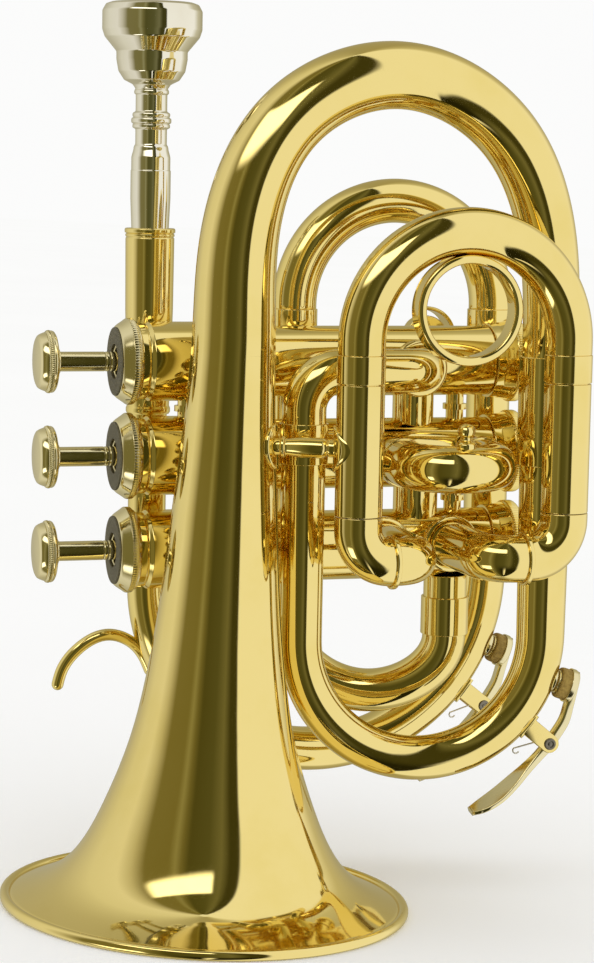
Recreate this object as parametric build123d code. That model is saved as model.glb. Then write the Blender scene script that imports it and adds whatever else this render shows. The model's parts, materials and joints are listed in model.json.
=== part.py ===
from build123d import *
import math
import os

# Pocket cornet in B-flat, standing on its bell.
#
# The bell is upright: its rim centre is the origin and +Z runs up its axis.
# Everything else is laid out in the body frame, whose +X runs along the valves
# from the finger buttons to the bottom caps, +Y points away from the bell and
# +Z runs up the leadpipe. The body frame leans a little from the bell's axis,
# and each body part is turned by that lean as it is written. Sizes are in mm.

# ---------------------------------------------------------------- dimensions

BODY_LEAN = 2.2  # degrees between the bell's axis and the leadpipe

WALL = 0.6  # brass tube wall
SLIDE_WALL = 0.5  # wall of the inner slide legs
SLIDE_FIT = 0.05  # radial play of a slide leg in its sleeve
JOINT_GAP = 0.3  # space left where a sliding bow meets its sleeve

# Bell: outer radius at each height, from the stem down to the rim bead.
BELL_OUTLINE = [
    (11.3, 150.0),
    (12.3, 131.0),
    (14.1, 109.0),
    (16.4, 82.0),
    (19.1, 61.0),
    (22.4, 45.0),
    (28.4, 27.5),
    (33.0, 17.5),
    (40.0, 8.5),
    (53.2, 1.9),
]
RIM_R = 55.5  # outer radius of the bead
BEAD_R = 1.4

# Bell bow: the tapering arch from the bell stem over to the far leg.
BOW_TOP_Z = 224.2
BELL_LEG_X = 95.8
BELL_LEG_END_Z = 134.0
BELL_BOW_RADII = [(0, 11.3), (0.14, 10.5), (0.30, 9.6), (0.50, 8.9), (0.72, 8.2), (1, 7.4)]

# Tail bow: from the bell bow down, round and up to the first valve.
TAIL_X = 27.9
TAIL_Y = 7.0
TAIL_CENTRE_Z = 70.9
TAIL_TOP_Z = 124.8
TAIL_RADII = [(0, 7.3), (0.28, 6.7), (0.55, 6.1), (1, 6.1)]
TAIL_PORT_X = 63.6
TAIL_PORT_Z = 144.4
TAIL_ELBOW_R = 6.05

# Valves: axes parallel to X, first valve on top.
VALVE_Y = 27.0
VALVE_Z = [145.7, 119.7, 93.7]
STROKE = 15.0
CASING_R = 9.8
BARREL_R = 10.9
CASING_BORE_R = 8.6
PISTON_R = 8.55
CASING_TOP_X = -18.6
COLLAR_X = -14.7
BARREL_X = -11.2
STEP_X = 22.0
CASING_END_X = 93.0
BOTTOM_CAP_X = 87.5
PORT_R = 5.2
GUIDE_X = 14.0
PISTON_TOP_X = -16.0
PISTON_FLOOR_X = 18.0
PISTON_END_X = 80.4
STEM_R = 2.7
STEM_END_X = -13.5
SLOT_HALF = 2.1

# Leadpipe side, one plane behind the valves.
BACK_Y = 46.0
LEADPIPE_X = -6.4
LEADPIPE_R = 5.35
BACK_LEG_X = 95.7
BACK_TUBE_R = 6.3
LEADPIPE_BOW_Z = 82.1
LEADPIPE_BOW_RADII = [(0, LEADPIPE_R), (0.35, 6.2), (0.6, 6.4), (1, BACK_TUBE_R)]
LEADPIPE_TOP_Z = 158.0
RECEIVER_TOP_Z = 181.6
MOUTHPIECE_TOP_Z = 243.9
SHANK_END_Z = 159.6

# Main tuning slide.
TUNING_X = 36.1
TUNING_SLEEVE_TOP = 152.9
TUNING_FERRULE = (153.2, 159.2)
TUNING_ARCH_Z = 160.4
TUNING_LEG_END = 118.0
ENTRY_X = 77.0
ENTRY_Z = 67.0
ENTRY_BOTTOM_Z = 49.7
ENTRY_R = 6.2

# Third slide, in front of everything.
THIRD_Y = -16.0
THIRD_LEFT_X = 36.5
THIRD_RIGHT_X = 95.2
THIRD_R = 6.4
THIRD_BOW_R = 6.35
THIRD_SLEEVE = (107.7, 142.6)
THIRD_FERRULE = (142.9, 150.4)
THIRD_ARCH_Z = 154.0
THIRD_LEG_END = 111.0
THIRD_PORT_Z = 95.0
THIRD_PORTS = (54.1, 74.1)
RING_R = 14.8
RING_WALL = 2.4
RING_WIDTH = 6.8
RING_Z = 162.35

# Second slide, toward the player's left, and first slide, on the other side.
SHORT_LEGS = (56.6, 79.6)
SHORT_R = 6.45
SHORT_PORT_Z = 119.0
SECOND_SLEEVE_END = 8.6
SECOND_ARC_Y = 0.0
FIRST_Z = 146.5
FIRST_SLEEVE_END = 52.0
FIRST_ARC_Y = 57.0
HOOK_Y = (55.0, 63.0)
HOOK_R = 9.0
HOOK_Z = 150.4

# Brace between the bell and the third slide.
BRACE_Z = 125.4
BRACE_FOOT_R = 6.2

# Water keys: distances along the tube from the nipple and heights above it.
NIPPLE_TOP = 1.3
CORK_R = 4.4
CORK_TOP = 4.9
PIVOT_ALONG = 17.3
PIVOT_HEIGHT = 7.3
LEVER_HALF = 1.9
LUG_INSIDE = 2.6
LUG_R = 2.6
# Each station of the lever: distance along, height, width, thickness and twist in degrees.
LEVER = [
    (-4.6, 5.9, 2.4, 1.4, 0),
    (-3.0, 6.0, 4.8, 1.6, 0),
    (1.0, 6.3, 4.8, 1.9, 0),
    (5.0, 6.9, 3.8, 2.5, 0),
    (9.5, 7.9, 3.6, 2.8, 0),
    (14.0, 8.1, 3.6, 2.9, 0),
    (18.0, 8.3, 3.6, 2.8, 0),
    (22.0, 8.4, 3.8, 2.4, 4),
    (26.5, 8.7, 5.0, 2.0, 12),
    (31.5, 9.5, 7.2, 1.6, 22),
    (37.0, 10.7, 8.2, 1.4, 26),
    (42.0, 11.5, 7.4, 1.3, 20),
    (45.2, 11.8, 4.4, 1.2, 14),
]

# ------------------------------------------------------------------- helpers

lean = math.radians(BODY_LEAN)
nodes = {}
upright = set()


def add(name, *shapes):
    """Keep the pieces of one node."""
    nodes[name] = [solid for shape in shapes for solid in shape.solids()]


def turned(points, origin=(0, 0, 0), axis=(0, 0, 1)):
    """A lathe-turned solid: (radius, distance along the axis) points, closed onto the axis."""
    outline = Polyline(*[(r, 0, h) for r, h in points], close=True)
    solid = revolve(Face(Wire(outline.edges())), axis=Axis.Z)
    return Plane(origin=origin, z_dir=axis) * solid


def rod(start, end, radius):
    """A plain round bar between two points."""
    a, b = Vector(start), Vector(end)
    plane = Plane(origin=a, z_dir=b - a)
    return plane * Cylinder(radius, (b - a).length, align=(Align.CENTER, Align.CENTER, Align.MIN))


def route(points, bends=()):
    """Straight runs joined by round bends, as one wire."""
    pts = [Vector(*p) for p in points]
    edges = []
    here = pts[0]
    for corner, after, radius in zip(pts[1:-1], pts[2:], bends):
        come = (corner - here).normalized()
        go = (after - corner).normalized()
        start = corner - come * radius
        end = corner + go * radius
        middle = start + (go + (come - go) * math.sqrt(0.5)) * radius
        if (start - here).length > 0.01:
            edges.append(Line(here, start).edge())
        edges.append(ThreePointArc(start, middle, end).edge())
        here = end
    edges.append(Line(here, pts[-1]).edge())
    return Wire(edges)


def half_turn(start, end, reach, lead=0.0, tail=0.0):
    """A U-shaped route: straight lead, half circle and straight tail, all along reach."""
    a, b, out = Vector(*start), Vector(*end), Vector(*reach)
    middle = (a + b) * 0.5 + out * ((b - a).length / 2)
    edges = []
    if lead:
        edges.append(Line(a - out * lead, a).edge())
    edges.append(ThreePointArc(a, middle, b).edge())
    if tail:
        edges.append(Line(b, b - out * tail).edge())
    return Wire(edges)


def tube(path, radius, wall=WALL):
    """A hollow tube of one size along a route."""
    ring = path.location_at(0) * (Circle(radius) - Circle(radius - wall))
    return sweep(ring, path=path)


def tapered_bar(path, stations, thinner=0.0):
    """A bar whose radius changes along its route: (fraction of the route, radius) stations."""
    rounds = [path.location_at(t) * Circle(r - thinner) for t, r in stations]
    return sweep(rounds, path=path, multisection=True)


def tapered(path, stations, wall=WALL):
    """A hollow tube whose radius changes along its route."""
    return tapered_bar(path, stations) - tapered_bar(path, stations, wall)


def sleeve(start, end, outer, inner):
    """A straight pipe between two points."""
    return rod(start, end, outer) - rod(start, end, inner)


def solid_along(path, radius):
    """A bar filling a route, used to cut one tube back from another."""
    return sweep(path.location_at(0) * Circle(radius), path=path)


def inset(outline, depth):
    """The outline moved inward by a wall, square to its own slope."""
    moved = []
    for i, (r, z) in enumerate(outline):
        r0, z0 = outline[max(i - 1, 0)]
        r1, z1 = outline[min(i + 1, len(outline) - 1)]
        length = math.hypot(r1 - r0, z1 - z0)
        moved.append((r + depth * (z1 - z0) / length, z - depth * (r1 - r0) / length))
    return moved


# ------------------------------------------------------- bell, bell bow, tail

outer_points = [(r, 0, z) for r, z in BELL_OUTLINE]
inner_points = [(r, 0, z) for r, z in inset(BELL_OUTLINE, WALL)]
outer_curve = Spline(*outer_points).edge()
inner_curve = Spline(*inner_points).edge()
mouth_edge = Line(outer_points[-1], inner_points[-1]).edge()
stem_edge = Line(inner_points[0], outer_points[0]).edge()
bell = revolve(Face(Wire([outer_curve, mouth_edge, inner_curve, stem_edge])), axis=Axis.Z)

bead = revolve(Plane.XZ * Pos(RIM_R - BEAD_R, BEAD_R - 0.1) * Circle(BEAD_R), axis=Axis.Z)
bead -= Pos(0, 0, -5) * Cylinder(RIM_R + 5, 10)
bell_axis = (math.sin(lean), 0, math.cos(lean))
add("bell", bell)
add("bell_rim", bead - bell)
upright.update(["bell", "bell_rim"])

stem_top_z = BELL_OUTLINE[0][1]
stem_top = (stem_top_z * bell_axis[0], 0, stem_top_z * bell_axis[2])
bow_left_z = 180.0
bow_right_z = 170.0
bow_left_x = bow_left_z * math.tan(lean)
bow_mid_x = (bow_left_x + BELL_LEG_X) / 2
half = (BELL_LEG_X - bow_left_x) / 2
shoulder = math.sqrt(0.5)
bell_bow_path = Spline(
    stem_top,
    (bow_left_x, 0, bow_left_z),
    (bow_mid_x - half * shoulder, 0, bow_left_z + (BOW_TOP_Z - bow_left_z) * shoulder),
    (bow_mid_x, 0, BOW_TOP_Z),
    (bow_mid_x + half * shoulder, 0, bow_right_z + (BOW_TOP_Z - bow_right_z) * shoulder),
    (BELL_LEG_X, 0, bow_right_z),
    (BELL_LEG_X, 0, BELL_LEG_END_Z),
    tangents=[bell_axis, (0, 0, -1)],
)
add("bell_bow", tapered(bell_bow_path, BELL_BOW_RADII))

tail_path = half_turn(
    (BELL_LEG_X, 0, TAIL_CENTRE_Z),
    (TAIL_X, TAIL_Y, TAIL_CENTRE_Z),
    (0, 0, -1),
    lead=BELL_LEG_END_Z - 0.2 - TAIL_CENTRE_Z,
    tail=TAIL_TOP_Z - TAIL_CENTRE_Z,
)
add("tail_bow", tapered(tail_path, TAIL_RADII))
add(
    "ferrules",
    sleeve((BELL_LEG_X, 0, 118.7), (BELL_LEG_X, 0, 148.7), 8.0, 7.48),
    sleeve((TAIL_X, TAIL_Y, 119.3), (TAIL_X, TAIL_Y, 130.3), 6.7, 6.12),
    sleeve((ENTRY_X, VALVE_Y, 67.4), (ENTRY_X, VALVE_Y, 78.2), 6.8, 6.22),
)

casing_bars = [
    rod((BARREL_X, VALVE_Y, z), (STEP_X, VALVE_Y, z), BARREL_R)
    + rod((STEP_X - 1, VALVE_Y, z), (BOTTOM_CAP_X, VALVE_Y, z), CASING_R)
    for z in VALVE_Z
]

elbow_path = route(
    [
        (TAIL_X, TAIL_Y, TAIL_TOP_Z + 0.2),
        (TAIL_X, TAIL_Y, TAIL_PORT_Z),
        (TAIL_PORT_X, TAIL_Y, TAIL_PORT_Z),
        (TAIL_PORT_X, VALVE_Y - 4, TAIL_PORT_Z),
    ],
    (10.5, 7.0),
)
add("tail_elbow", tube(elbow_path, TAIL_ELBOW_R) - casing_bars[0])

# ------------------------------------------------------ mouthpiece, leadpipe

top = MOUTHPIECE_TOP_Z
mouthpiece = turned(
    [
        (0, SHANK_END_Z),
        (4.85, SHANK_END_Z),
        (5.25, RECEIVER_TOP_Z),
        (5.6, top - 54.0),
        (5.6, top - 46.4),
        (5.45, top - 46.2),
        (5.45, top - 42.6),
        (4.9, top - 40.6),
        (4.8, top - 39.7),
        (4.4, top - 39.1),
        (4.4, top - 34.9),
        (5.25, top - 34.5),
        (5.25, top - 33.7),
        (5.0, top - 33.5),
        (5.6, top - 33.1),
        (5.6, top - 32.0),
        (5.0, top - 31.6),
        (5.25, top - 31.3),
        (5.25, top - 30.5),
        (4.4, top - 30.0),
        (4.4, top - 25.4),
        (4.85, top - 25.1),
        (4.85, top - 24.3),
        (4.5, top - 23.8),
        (5.3, top - 22.6),
        (7.7, top - 21.4),
        (9.3, top - 19.0),
        (9.9, top - 15.7),
        (9.9, top - 13.6),
        (13.2, top - 9.6),
        (13.9, top - 7.5),
        (13.9, top - 2.4),
        (12.9, top - 0.6),
        (11.2, top),
        (0, top),
    ]
)
cup = turned(
    [
        (0, top - 14.0),
        (1.9, top - 13.6),
        (4.6, top - 10.6),
        (6.9, top - 6.2),
        (7.9, top - 1.8),
        (8.7, top + 0.5),
        (0, top + 0.5),
    ]
)
backbore = turned(
    [(0, SHANK_END_Z - 1), (4.25, SHANK_END_Z - 1), (1.85, top - 20.0), (1.85, top - 13.0), (0, top - 13.0)]
)
add("mouthpiece", Pos(LEADPIPE_X, BACK_Y, 0) * (mouthpiece - cup - backbore))

receiver = turned(
    [
        (5.38, 129.6),
        (5.9, 129.6),
        (6.25, 130.2),
        (6.25, 131.2),
        (5.95, 131.9),
        (6.7, 158.7),
        (6.85, 178.8),
        (6.6, 179.1),
        (6.9, 179.4),
        (6.9, 179.9),
        (6.6, 180.1),
        (7.1, 180.4),
        (7.1, RECEIVER_TOP_Z - 0.3),
        (6.8, RECEIVER_TOP_Z),
        (5.3, RECEIVER_TOP_Z),
        (4.9, SHANK_END_Z),
        (4.9, LEADPIPE_TOP_Z + 0.2),
        (5.38, LEADPIPE_TOP_Z + 0.2),
    ],
    origin=(LEADPIPE_X, BACK_Y, 0),
)
add("mouthpiece_receiver", receiver)
leadpipe_top = (LEADPIPE_X, BACK_Y, LEADPIPE_TOP_Z)
leadpipe_end = (LEADPIPE_X, BACK_Y, LEADPIPE_BOW_Z + 0.2)
add("leadpipe", sleeve(leadpipe_top, leadpipe_end, LEADPIPE_R, LEADPIPE_R - WALL))

leadpipe_bow_path = half_turn(
    (LEADPIPE_X, BACK_Y, LEADPIPE_BOW_Z),
    (BACK_LEG_X, BACK_Y, LEADPIPE_BOW_Z),
    (0, 0, -1),
    tail=14.0,
)
add("leadpipe_bow", tapered(leadpipe_bow_path, LEADPIPE_BOW_RADII))

# --------------------------------------------------------- main tuning slide

sleeve_bore = BACK_TUBE_R - WALL
tuning_leg_r = sleeve_bore - SLIDE_FIT
back_leg_start = LEADPIPE_BOW_Z + 14.2
sleeves = []
for x, foot_z in ((TUNING_X, ENTRY_Z + 0.2), (BACK_LEG_X, back_leg_start)):
    foot, rim = (x, BACK_Y, foot_z), (x, BACK_Y, TUNING_SLEEVE_TOP)
    sleeves.append(sleeve(foot, rim, BACK_TUBE_R, sleeve_bore))
add("tuning_slide_sleeves", *sleeves)
tuning_path = half_turn(
    (TUNING_X, BACK_Y, TUNING_ARCH_Z),
    (BACK_LEG_X, BACK_Y, TUNING_ARCH_Z),
    (0, 0, 1),
    lead=TUNING_ARCH_Z - TUNING_FERRULE[1],
    tail=TUNING_ARCH_Z - TUNING_FERRULE[1],
)
add("tuning_slide_bow", tube(tuning_path, BACK_TUBE_R))
legs = []
ferrules = []
for x in (TUNING_X, BACK_LEG_X):
    foot, neck = (x, BACK_Y, TUNING_LEG_END), (x, BACK_Y, TUNING_FERRULE[0])
    shoulder_top = (x, BACK_Y, TUNING_FERRULE[1])
    legs.append(sleeve(foot, shoulder_top, tuning_leg_r, tuning_leg_r - SLIDE_WALL))
    ferrules.append(sleeve(neck, shoulder_top, BACK_TUBE_R + 0.35, tuning_leg_r))
add("tuning_slide_legs", *legs, *ferrules)

entry_left = (TUNING_X, BACK_Y, ENTRY_Z)
entry_low = ((TUNING_X + ENTRY_X) / 2, (BACK_Y + VALVE_Y) / 2, ENTRY_BOTTOM_Z)
entry_right = (ENTRY_X, VALVE_Y, ENTRY_Z)
entry_bend = Spline(entry_left, entry_low, entry_right, tangents=[(0, 0, -1), (0, 0, 1)])
entry_rise = Line(entry_right, (ENTRY_X, VALVE_Y, VALVE_Z[2] - 5))
entry_path = Wire([entry_bend.edge(), entry_rise.edge()])
add("entry_bow", tube(entry_path, ENTRY_R) - casing_bars[2])

# -------------------------------------------------------------------- valves


def port(x, z, toward):
    """The hole that a tube opens through a casing wall."""
    start = Vector(x, VALVE_Y, z)
    return rod(start, start + Vector(*toward) * (BARREL_R + 1), PORT_R)


FRONT, BACK, UP, DOWN = (0, -1, 0), (0, 1, 0), (0, 0, 1), (0, 0, -1)
CROSS_12_X = 66.0
CROSS_23_X = 67.3
ports = [
    [(TAIL_PORT_X, TAIL_PORT_Z, FRONT), (CROSS_12_X, VALVE_Z[0], DOWN)]
    + [(x, FIRST_Z, BACK) for x in SHORT_LEGS],
    [(CROSS_12_X, VALVE_Z[1], UP), (CROSS_23_X, VALVE_Z[1], DOWN)]
    + [(x, SHORT_PORT_Z, FRONT) for x in SHORT_LEGS],
    [(CROSS_23_X, VALVE_Z[2], UP), (ENTRY_X, VALVE_Z[2], DOWN)]
    + [(x, THIRD_PORT_Z, FRONT) for x in THIRD_PORTS],
]

casing = turned(
    [
        (CASING_BORE_R, CASING_TOP_X),
        (10.0, CASING_TOP_X),
        (10.0, COLLAR_X),
        (10.4, COLLAR_X + 0.2),
        (10.4, COLLAR_X + 1.9),
        (10.2, COLLAR_X + 2.2),
        (10.2, COLLAR_X + 2.6),
        (BARREL_R, BARREL_X),
        (BARREL_R, STEP_X - 1.1),
        (CASING_R, STEP_X),
        (CASING_R, BOTTOM_CAP_X - 0.2),
        (9.3, BOTTOM_CAP_X),
        (9.3, CASING_END_X),
        (CASING_BORE_R, CASING_END_X),
    ]
)
keyway = Box(4.2, 19.2, GUIDE_X + 2.1 - CASING_TOP_X, align=(Align.CENTER, Align.CENTER, Align.MIN))
casing -= Pos(0, 0, CASING_TOP_X) * (keyway - Cylinder(CASING_BORE_R - 0.2, 200))

top_cap = turned(
    [
        (3.6, -20.1),
        (9.7, -20.1),
        (10.3, -19.4),
        (11.3, -17.9),
        (11.8, -17.2),
        (11.85, -16.4),
        (11.8, -15.6),
        (11.2, -15.2),
        (11.1, COLLAR_X - 0.1),
        (10.1, COLLAR_X - 0.1),
        (10.1, -18.7),
        (3.6, -18.7),
    ]
)
felt = turned([(4.8, -20.6), (9.35, -20.6), (9.45, -20.12), (4.8, -20.12)])
inner_felt = turned([(3.4, -18.65), (8.3, -18.65), (8.3, PISTON_TOP_X - 0.05), (3.4, PISTON_TOP_X - 0.05)])
bottom_cap = turned(
    [
        (1.5, 97.6),
        (4.0, 98.3),
        (9.6, 97.6),
        (11.3, 97.0),
        (11.75, 96.4),
        (11.75, 94.0),
        (11.2, 93.6),
        (10.5, 90.0),
        (10.5, BOTTOM_CAP_X + 0.1),
        (9.38, BOTTOM_CAP_X + 0.1),
        (9.38, CASING_END_X + 0.1),
        (8.8, CASING_END_X + 0.1),
        (8.8, 95.9),
        (1.5, 95.9),
    ]
)

piston = turned(
    [
        (STEM_R + 0.02, PISTON_TOP_X),
        (PISTON_R - 0.4, PISTON_TOP_X),
        (PISTON_R, PISTON_TOP_X + 0.4),
        (PISTON_R, PISTON_END_X),
        (6.6, PISTON_END_X),
        (6.6, 75.0),
        (0, 75.0),
        (0, PISTON_FLOOR_X),
        (7.3, PISTON_FLOOR_X),
        (7.3, STEM_END_X),
        (STEM_R + 0.02, STEM_END_X),
    ]
)
slot = Box(2 * SLOT_HALF, 40, STROKE + 3.2, align=(Align.CENTER, Align.CENTER, Align.MIN))
piston -= Pos(0, 0, GUIDE_X - STROKE - 0.6) * slot
for passage_x in (44.8, 56.3, 67.8):
    piston -= Pos(0, 0, passage_x) * Rot(90, 0, 0) * Cylinder(PORT_R, 40)

stem = turned([(0, -39.4), (STEM_R, -39.4), (STEM_R, STEM_END_X), (0, STEM_END_X)])
button = turned(
    [
        (0, -42.6),
        (3.5, -42.4),
        (6.4, -42.0),
        (7.2, -41.6),
        (7.6, -40.9),
        (8.1, -39.7),
        (8.55, -39.2),
        (8.6, -38.6),
        (8.35, -38.4),
        (8.5, -38.1),
        (8.3, -37.5),
        (7.6, -37.1),
        (3.6, -36.8),
        (3.6, -35.9),
        (STEM_R + 0.02, -35.9),
        (STEM_R + 0.02, -39.5),
        (0, -39.5),
    ]
)
guide = turned([(2.0, GUIDE_X), (7.1, GUIDE_X), (7.1, GUIDE_X + 2), (2.0, GUIDE_X + 2)])
tab = Box(3.8, 19.0, 2, align=(Align.CENTER, Align.CENTER, Align.MIN))
guide += Pos(0, 0, GUIDE_X) * (tab - Cylinder(5, 20))
coil_start = STEM_END_X + 0.2
coil_end = GUIDE_X - 0.2
coil = Helix(pitch=(coil_end - coil_start - 1.2) / 7, height=coil_end - coil_start - 1.2, radius=5.8)
spring = sweep(coil.location_at(0) * Circle(0.5), path=coil)
spring = Pos(0, 0, coil_start + 0.6) * spring

top_caps, bottom_caps, felts, guides = [], [], [], []
for number, z in enumerate(VALVE_Z, start=1):
    seat = Plane(origin=(0, VALVE_Y, z), x_dir=(0, 1, 0), z_dir=(1, 0, 0))
    drilled = seat * casing
    for x, port_z, toward in ports[number - 1]:
        drilled -= port(x, port_z, toward)
    add(f"valve_{number}_casing", drilled)
    add(f"valve_{number}_piston", seat * piston)
    add(f"valve_{number}_stem", seat * stem)
    add(f"valve_{number}_button", seat * button)
    add(f"valve_{number}_spring", seat * spring)
    top_caps.append(seat * top_cap)
    bottom_caps.append(seat * bottom_cap)
    felts += [seat * felt, seat * inner_felt]
    guides.append(seat * guide)
add("top_caps", *top_caps)
add("bottom_caps", *bottom_caps)
add("valve_felts", *felts)
add("valve_guides", *guides)

cross_12 = sleeve((CROSS_12_X, VALVE_Y, VALVE_Z[0]), (CROSS_12_X, VALVE_Y, VALVE_Z[1]), 5.8, PORT_R)
cross_23 = sleeve((CROSS_23_X, VALVE_Y, VALVE_Z[1]), (CROSS_23_X, VALVE_Y, VALVE_Z[2]), 6.3, PORT_R)
cross_12 = cross_12 - casing_bars[0] - casing_bars[1]
cross_23 = cross_23 - casing_bars[1] - casing_bars[2]
add("crossovers", cross_12, cross_23)
spacers = []
for upper, lower in ((0, 1), (1, 2)):
    for x in (0.0, 78.5):
        spacer_high = (x, VALVE_Y, VALVE_Z[upper])
        spacer_low = (x, VALVE_Y, VALVE_Z[lower])
        middle_z = (VALVE_Z[upper] + VALVE_Z[lower]) / 2
        bead_ring = rod((x, VALVE_Y, middle_z - 0.8), (x, VALVE_Y, middle_z + 0.8), 3.4)
        post = rod(spacer_low, spacer_high, 2.5) + bead_ring
        spacers.append(post - casing_bars[upper] - casing_bars[lower])

# --------------------------------------------------------------- third slide

knuckles = []
for x, port_x, turn in ((THIRD_LEFT_X, THIRD_PORTS[0], 9.0), (THIRD_RIGHT_X, THIRD_PORTS[1], 10.5)):
    path = route(
        [
            (x, THIRD_Y, THIRD_SLEEVE[0] - 0.2),
            (x, THIRD_Y, THIRD_PORT_Z),
            (port_x, THIRD_Y, THIRD_PORT_Z),
            (port_x, VALVE_Y - 4, THIRD_PORT_Z),
        ],
        (turn, 7.2),
    )
    knuckles.append(tube(path, THIRD_R) - casing_bars[2])
add("third_slide_knuckle_left", knuckles[0])
add("third_slide_knuckle_right", knuckles[1])
third_bore = THIRD_R - WALL
third_leg_r = third_bore - SLIDE_FIT
sleeves = []
legs = []
ferrules = []
for x in (THIRD_LEFT_X, THIRD_RIGHT_X):
    low, high = ((x, THIRD_Y, z) for z in THIRD_SLEEVE)
    sleeves.append(sleeve(low, high, THIRD_R, third_bore))
    low, high = ((x, THIRD_Y, z) for z in THIRD_FERRULE)
    ferrules.append(sleeve(low, high, THIRD_R + 0.1, third_leg_r))
    legs.append(sleeve((x, THIRD_Y, THIRD_LEG_END), high, third_leg_r, third_leg_r - SLIDE_WALL))
add("third_slide_sleeves", *sleeves)
add("third_slide_legs", *legs, *ferrules)
third_path = half_turn(
    (THIRD_LEFT_X, THIRD_Y, THIRD_ARCH_Z),
    (THIRD_RIGHT_X, THIRD_Y, THIRD_ARCH_Z),
    (0, 0, 1),
    lead=THIRD_ARCH_Z - THIRD_FERRULE[1],
    tail=THIRD_ARCH_Z - THIRD_FERRULE[1],
)
third_bow = tube(third_path, THIRD_BOW_R)
add("third_slide_bow", third_bow)

third_mid_x = (THIRD_LEFT_X + THIRD_RIGHT_X) / 2
ring_front = (third_mid_x, THIRD_Y - RING_WIDTH / 2, RING_Z)
ring_back = (third_mid_x, THIRD_Y + RING_WIDTH / 2, RING_Z)
finger_ring = sleeve(ring_front, ring_back, RING_R, RING_R - RING_WALL)
add("third_slide_finger_ring", finger_ring - solid_along(third_path, THIRD_BOW_R))

# Rings soldered round the tubes where they join.
port_rings = [
    sleeve((45.55, THIRD_Y, THIRD_PORT_Z), (46.85, THIRD_Y, THIRD_PORT_Z), 7.3, THIRD_R),
    sleeve((83.2, THIRD_Y, THIRD_PORT_Z), (84.5, THIRD_Y, THIRD_PORT_Z), 7.3, THIRD_R),
    sleeve((TAIL_PORT_X, 14.2, TAIL_PORT_Z), (TAIL_PORT_X, 16.6, TAIL_PORT_Z), 8.0, TAIL_ELBOW_R),
]
for x in THIRD_PORTS:
    port_rings.append(sleeve((x, 14.2, THIRD_PORT_Z), (x, 16.6, THIRD_PORT_Z), 8.0, THIRD_R))
add("port_rings", *port_rings)

# ---------------------------------------------------- second and first slide


def short_slide(z, valve, sleeve_end, arc_y, toward):
    """A short valve slide: fixed sleeves, and the moving bow with its legs and ferrules."""
    bore = SHORT_R - WALL
    leg_r = bore - SLIDE_FIT
    wall_y = VALVE_Y + toward * (CASING_R - 4)
    ferrule_y = sleeve_end + toward * JOINT_GAP
    leg_in = VALVE_Y + toward * (CASING_R + 1.4)
    fixed, legs, rings = [], [], []
    for x in SHORT_LEGS:
        pipe = sleeve((x, wall_y, z), (x, sleeve_end, z), SHORT_R, bore)
        fixed.append(pipe - casing_bars[valve])
        rim_y = ferrule_y + toward * 2.2
        rings.append(sleeve((x, ferrule_y, z), (x, rim_y, z), SHORT_R + 0.4, leg_r))
        legs.append(sleeve((x, leg_in, z), (x, rim_y, z), leg_r, leg_r - SLIDE_WALL))
    run = abs(arc_y - ferrule_y) - 2.2
    path = half_turn(
        (SHORT_LEGS[0], arc_y, z), (SHORT_LEGS[1], arc_y, z), (0, toward, 0), lead=run, tail=run
    )
    return fixed, [tube(path, SHORT_R)], legs + rings, path


fixed, bow, inner, second_path = short_slide(SHORT_PORT_Z, 1, SECOND_SLEEVE_END, SECOND_ARC_Y, -1)
add("second_slide_sleeves", *fixed)
add("second_slide_bow", *bow)
add("second_slide_legs", *inner)
knob_x = sum(SHORT_LEGS) / 2
knob_y = SECOND_ARC_Y - (SHORT_LEGS[1] - SHORT_LEGS[0]) / 2
knob = turned(
    [
        (0, 4.0),
        (2.9, 4.0),
        (2.9, 7.0),
        (2.2, 7.6),
        (1.4, 8.0),
        (1.4, 8.8),
        (2.2, 9.4),
        (2.5, 10.5),
        (2.1, 11.6),
        (1.2, 12.3),
        (0, 12.6),
    ],
    origin=(knob_x, knob_y, SHORT_PORT_Z),
)
add("second_slide_knob", knob - solid_along(second_path, SHORT_R))

fixed, bow, inner, first_path = short_slide(FIRST_Z, 0, FIRST_SLEEVE_END, FIRST_ARC_Y, 1)
add("first_slide_sleeves", *fixed)
add("first_slide_bow", *bow)
add("first_slide_legs", *inner)
# A thumb hook arching over the right leg from a raised pad, open on its left.
hook_x = SHORT_LEGS[1]
hook_near, hook_far = HOOK_Y
pad_far = hook_near + 5
thumb_band = sleeve((hook_x, hook_near, HOOK_Z), (hook_x, hook_far, HOOK_Z), HOOK_R, HOOK_R - 1.1)
thumb_band -= Pos(hook_x - 12, (hook_near + hook_far) / 2, HOOK_Z) * Box(20, 20, 30)
thumb_pad = rod((hook_x, hook_near, HOOK_Z), (hook_x, pad_far, HOOK_Z), SHORT_R - 0.15)
add("first_slide_thumb_saddle", thumb_band + thumb_pad - solid_along(first_path, SHORT_R))

# ---------------------------------------------------------------- water keys


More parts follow.
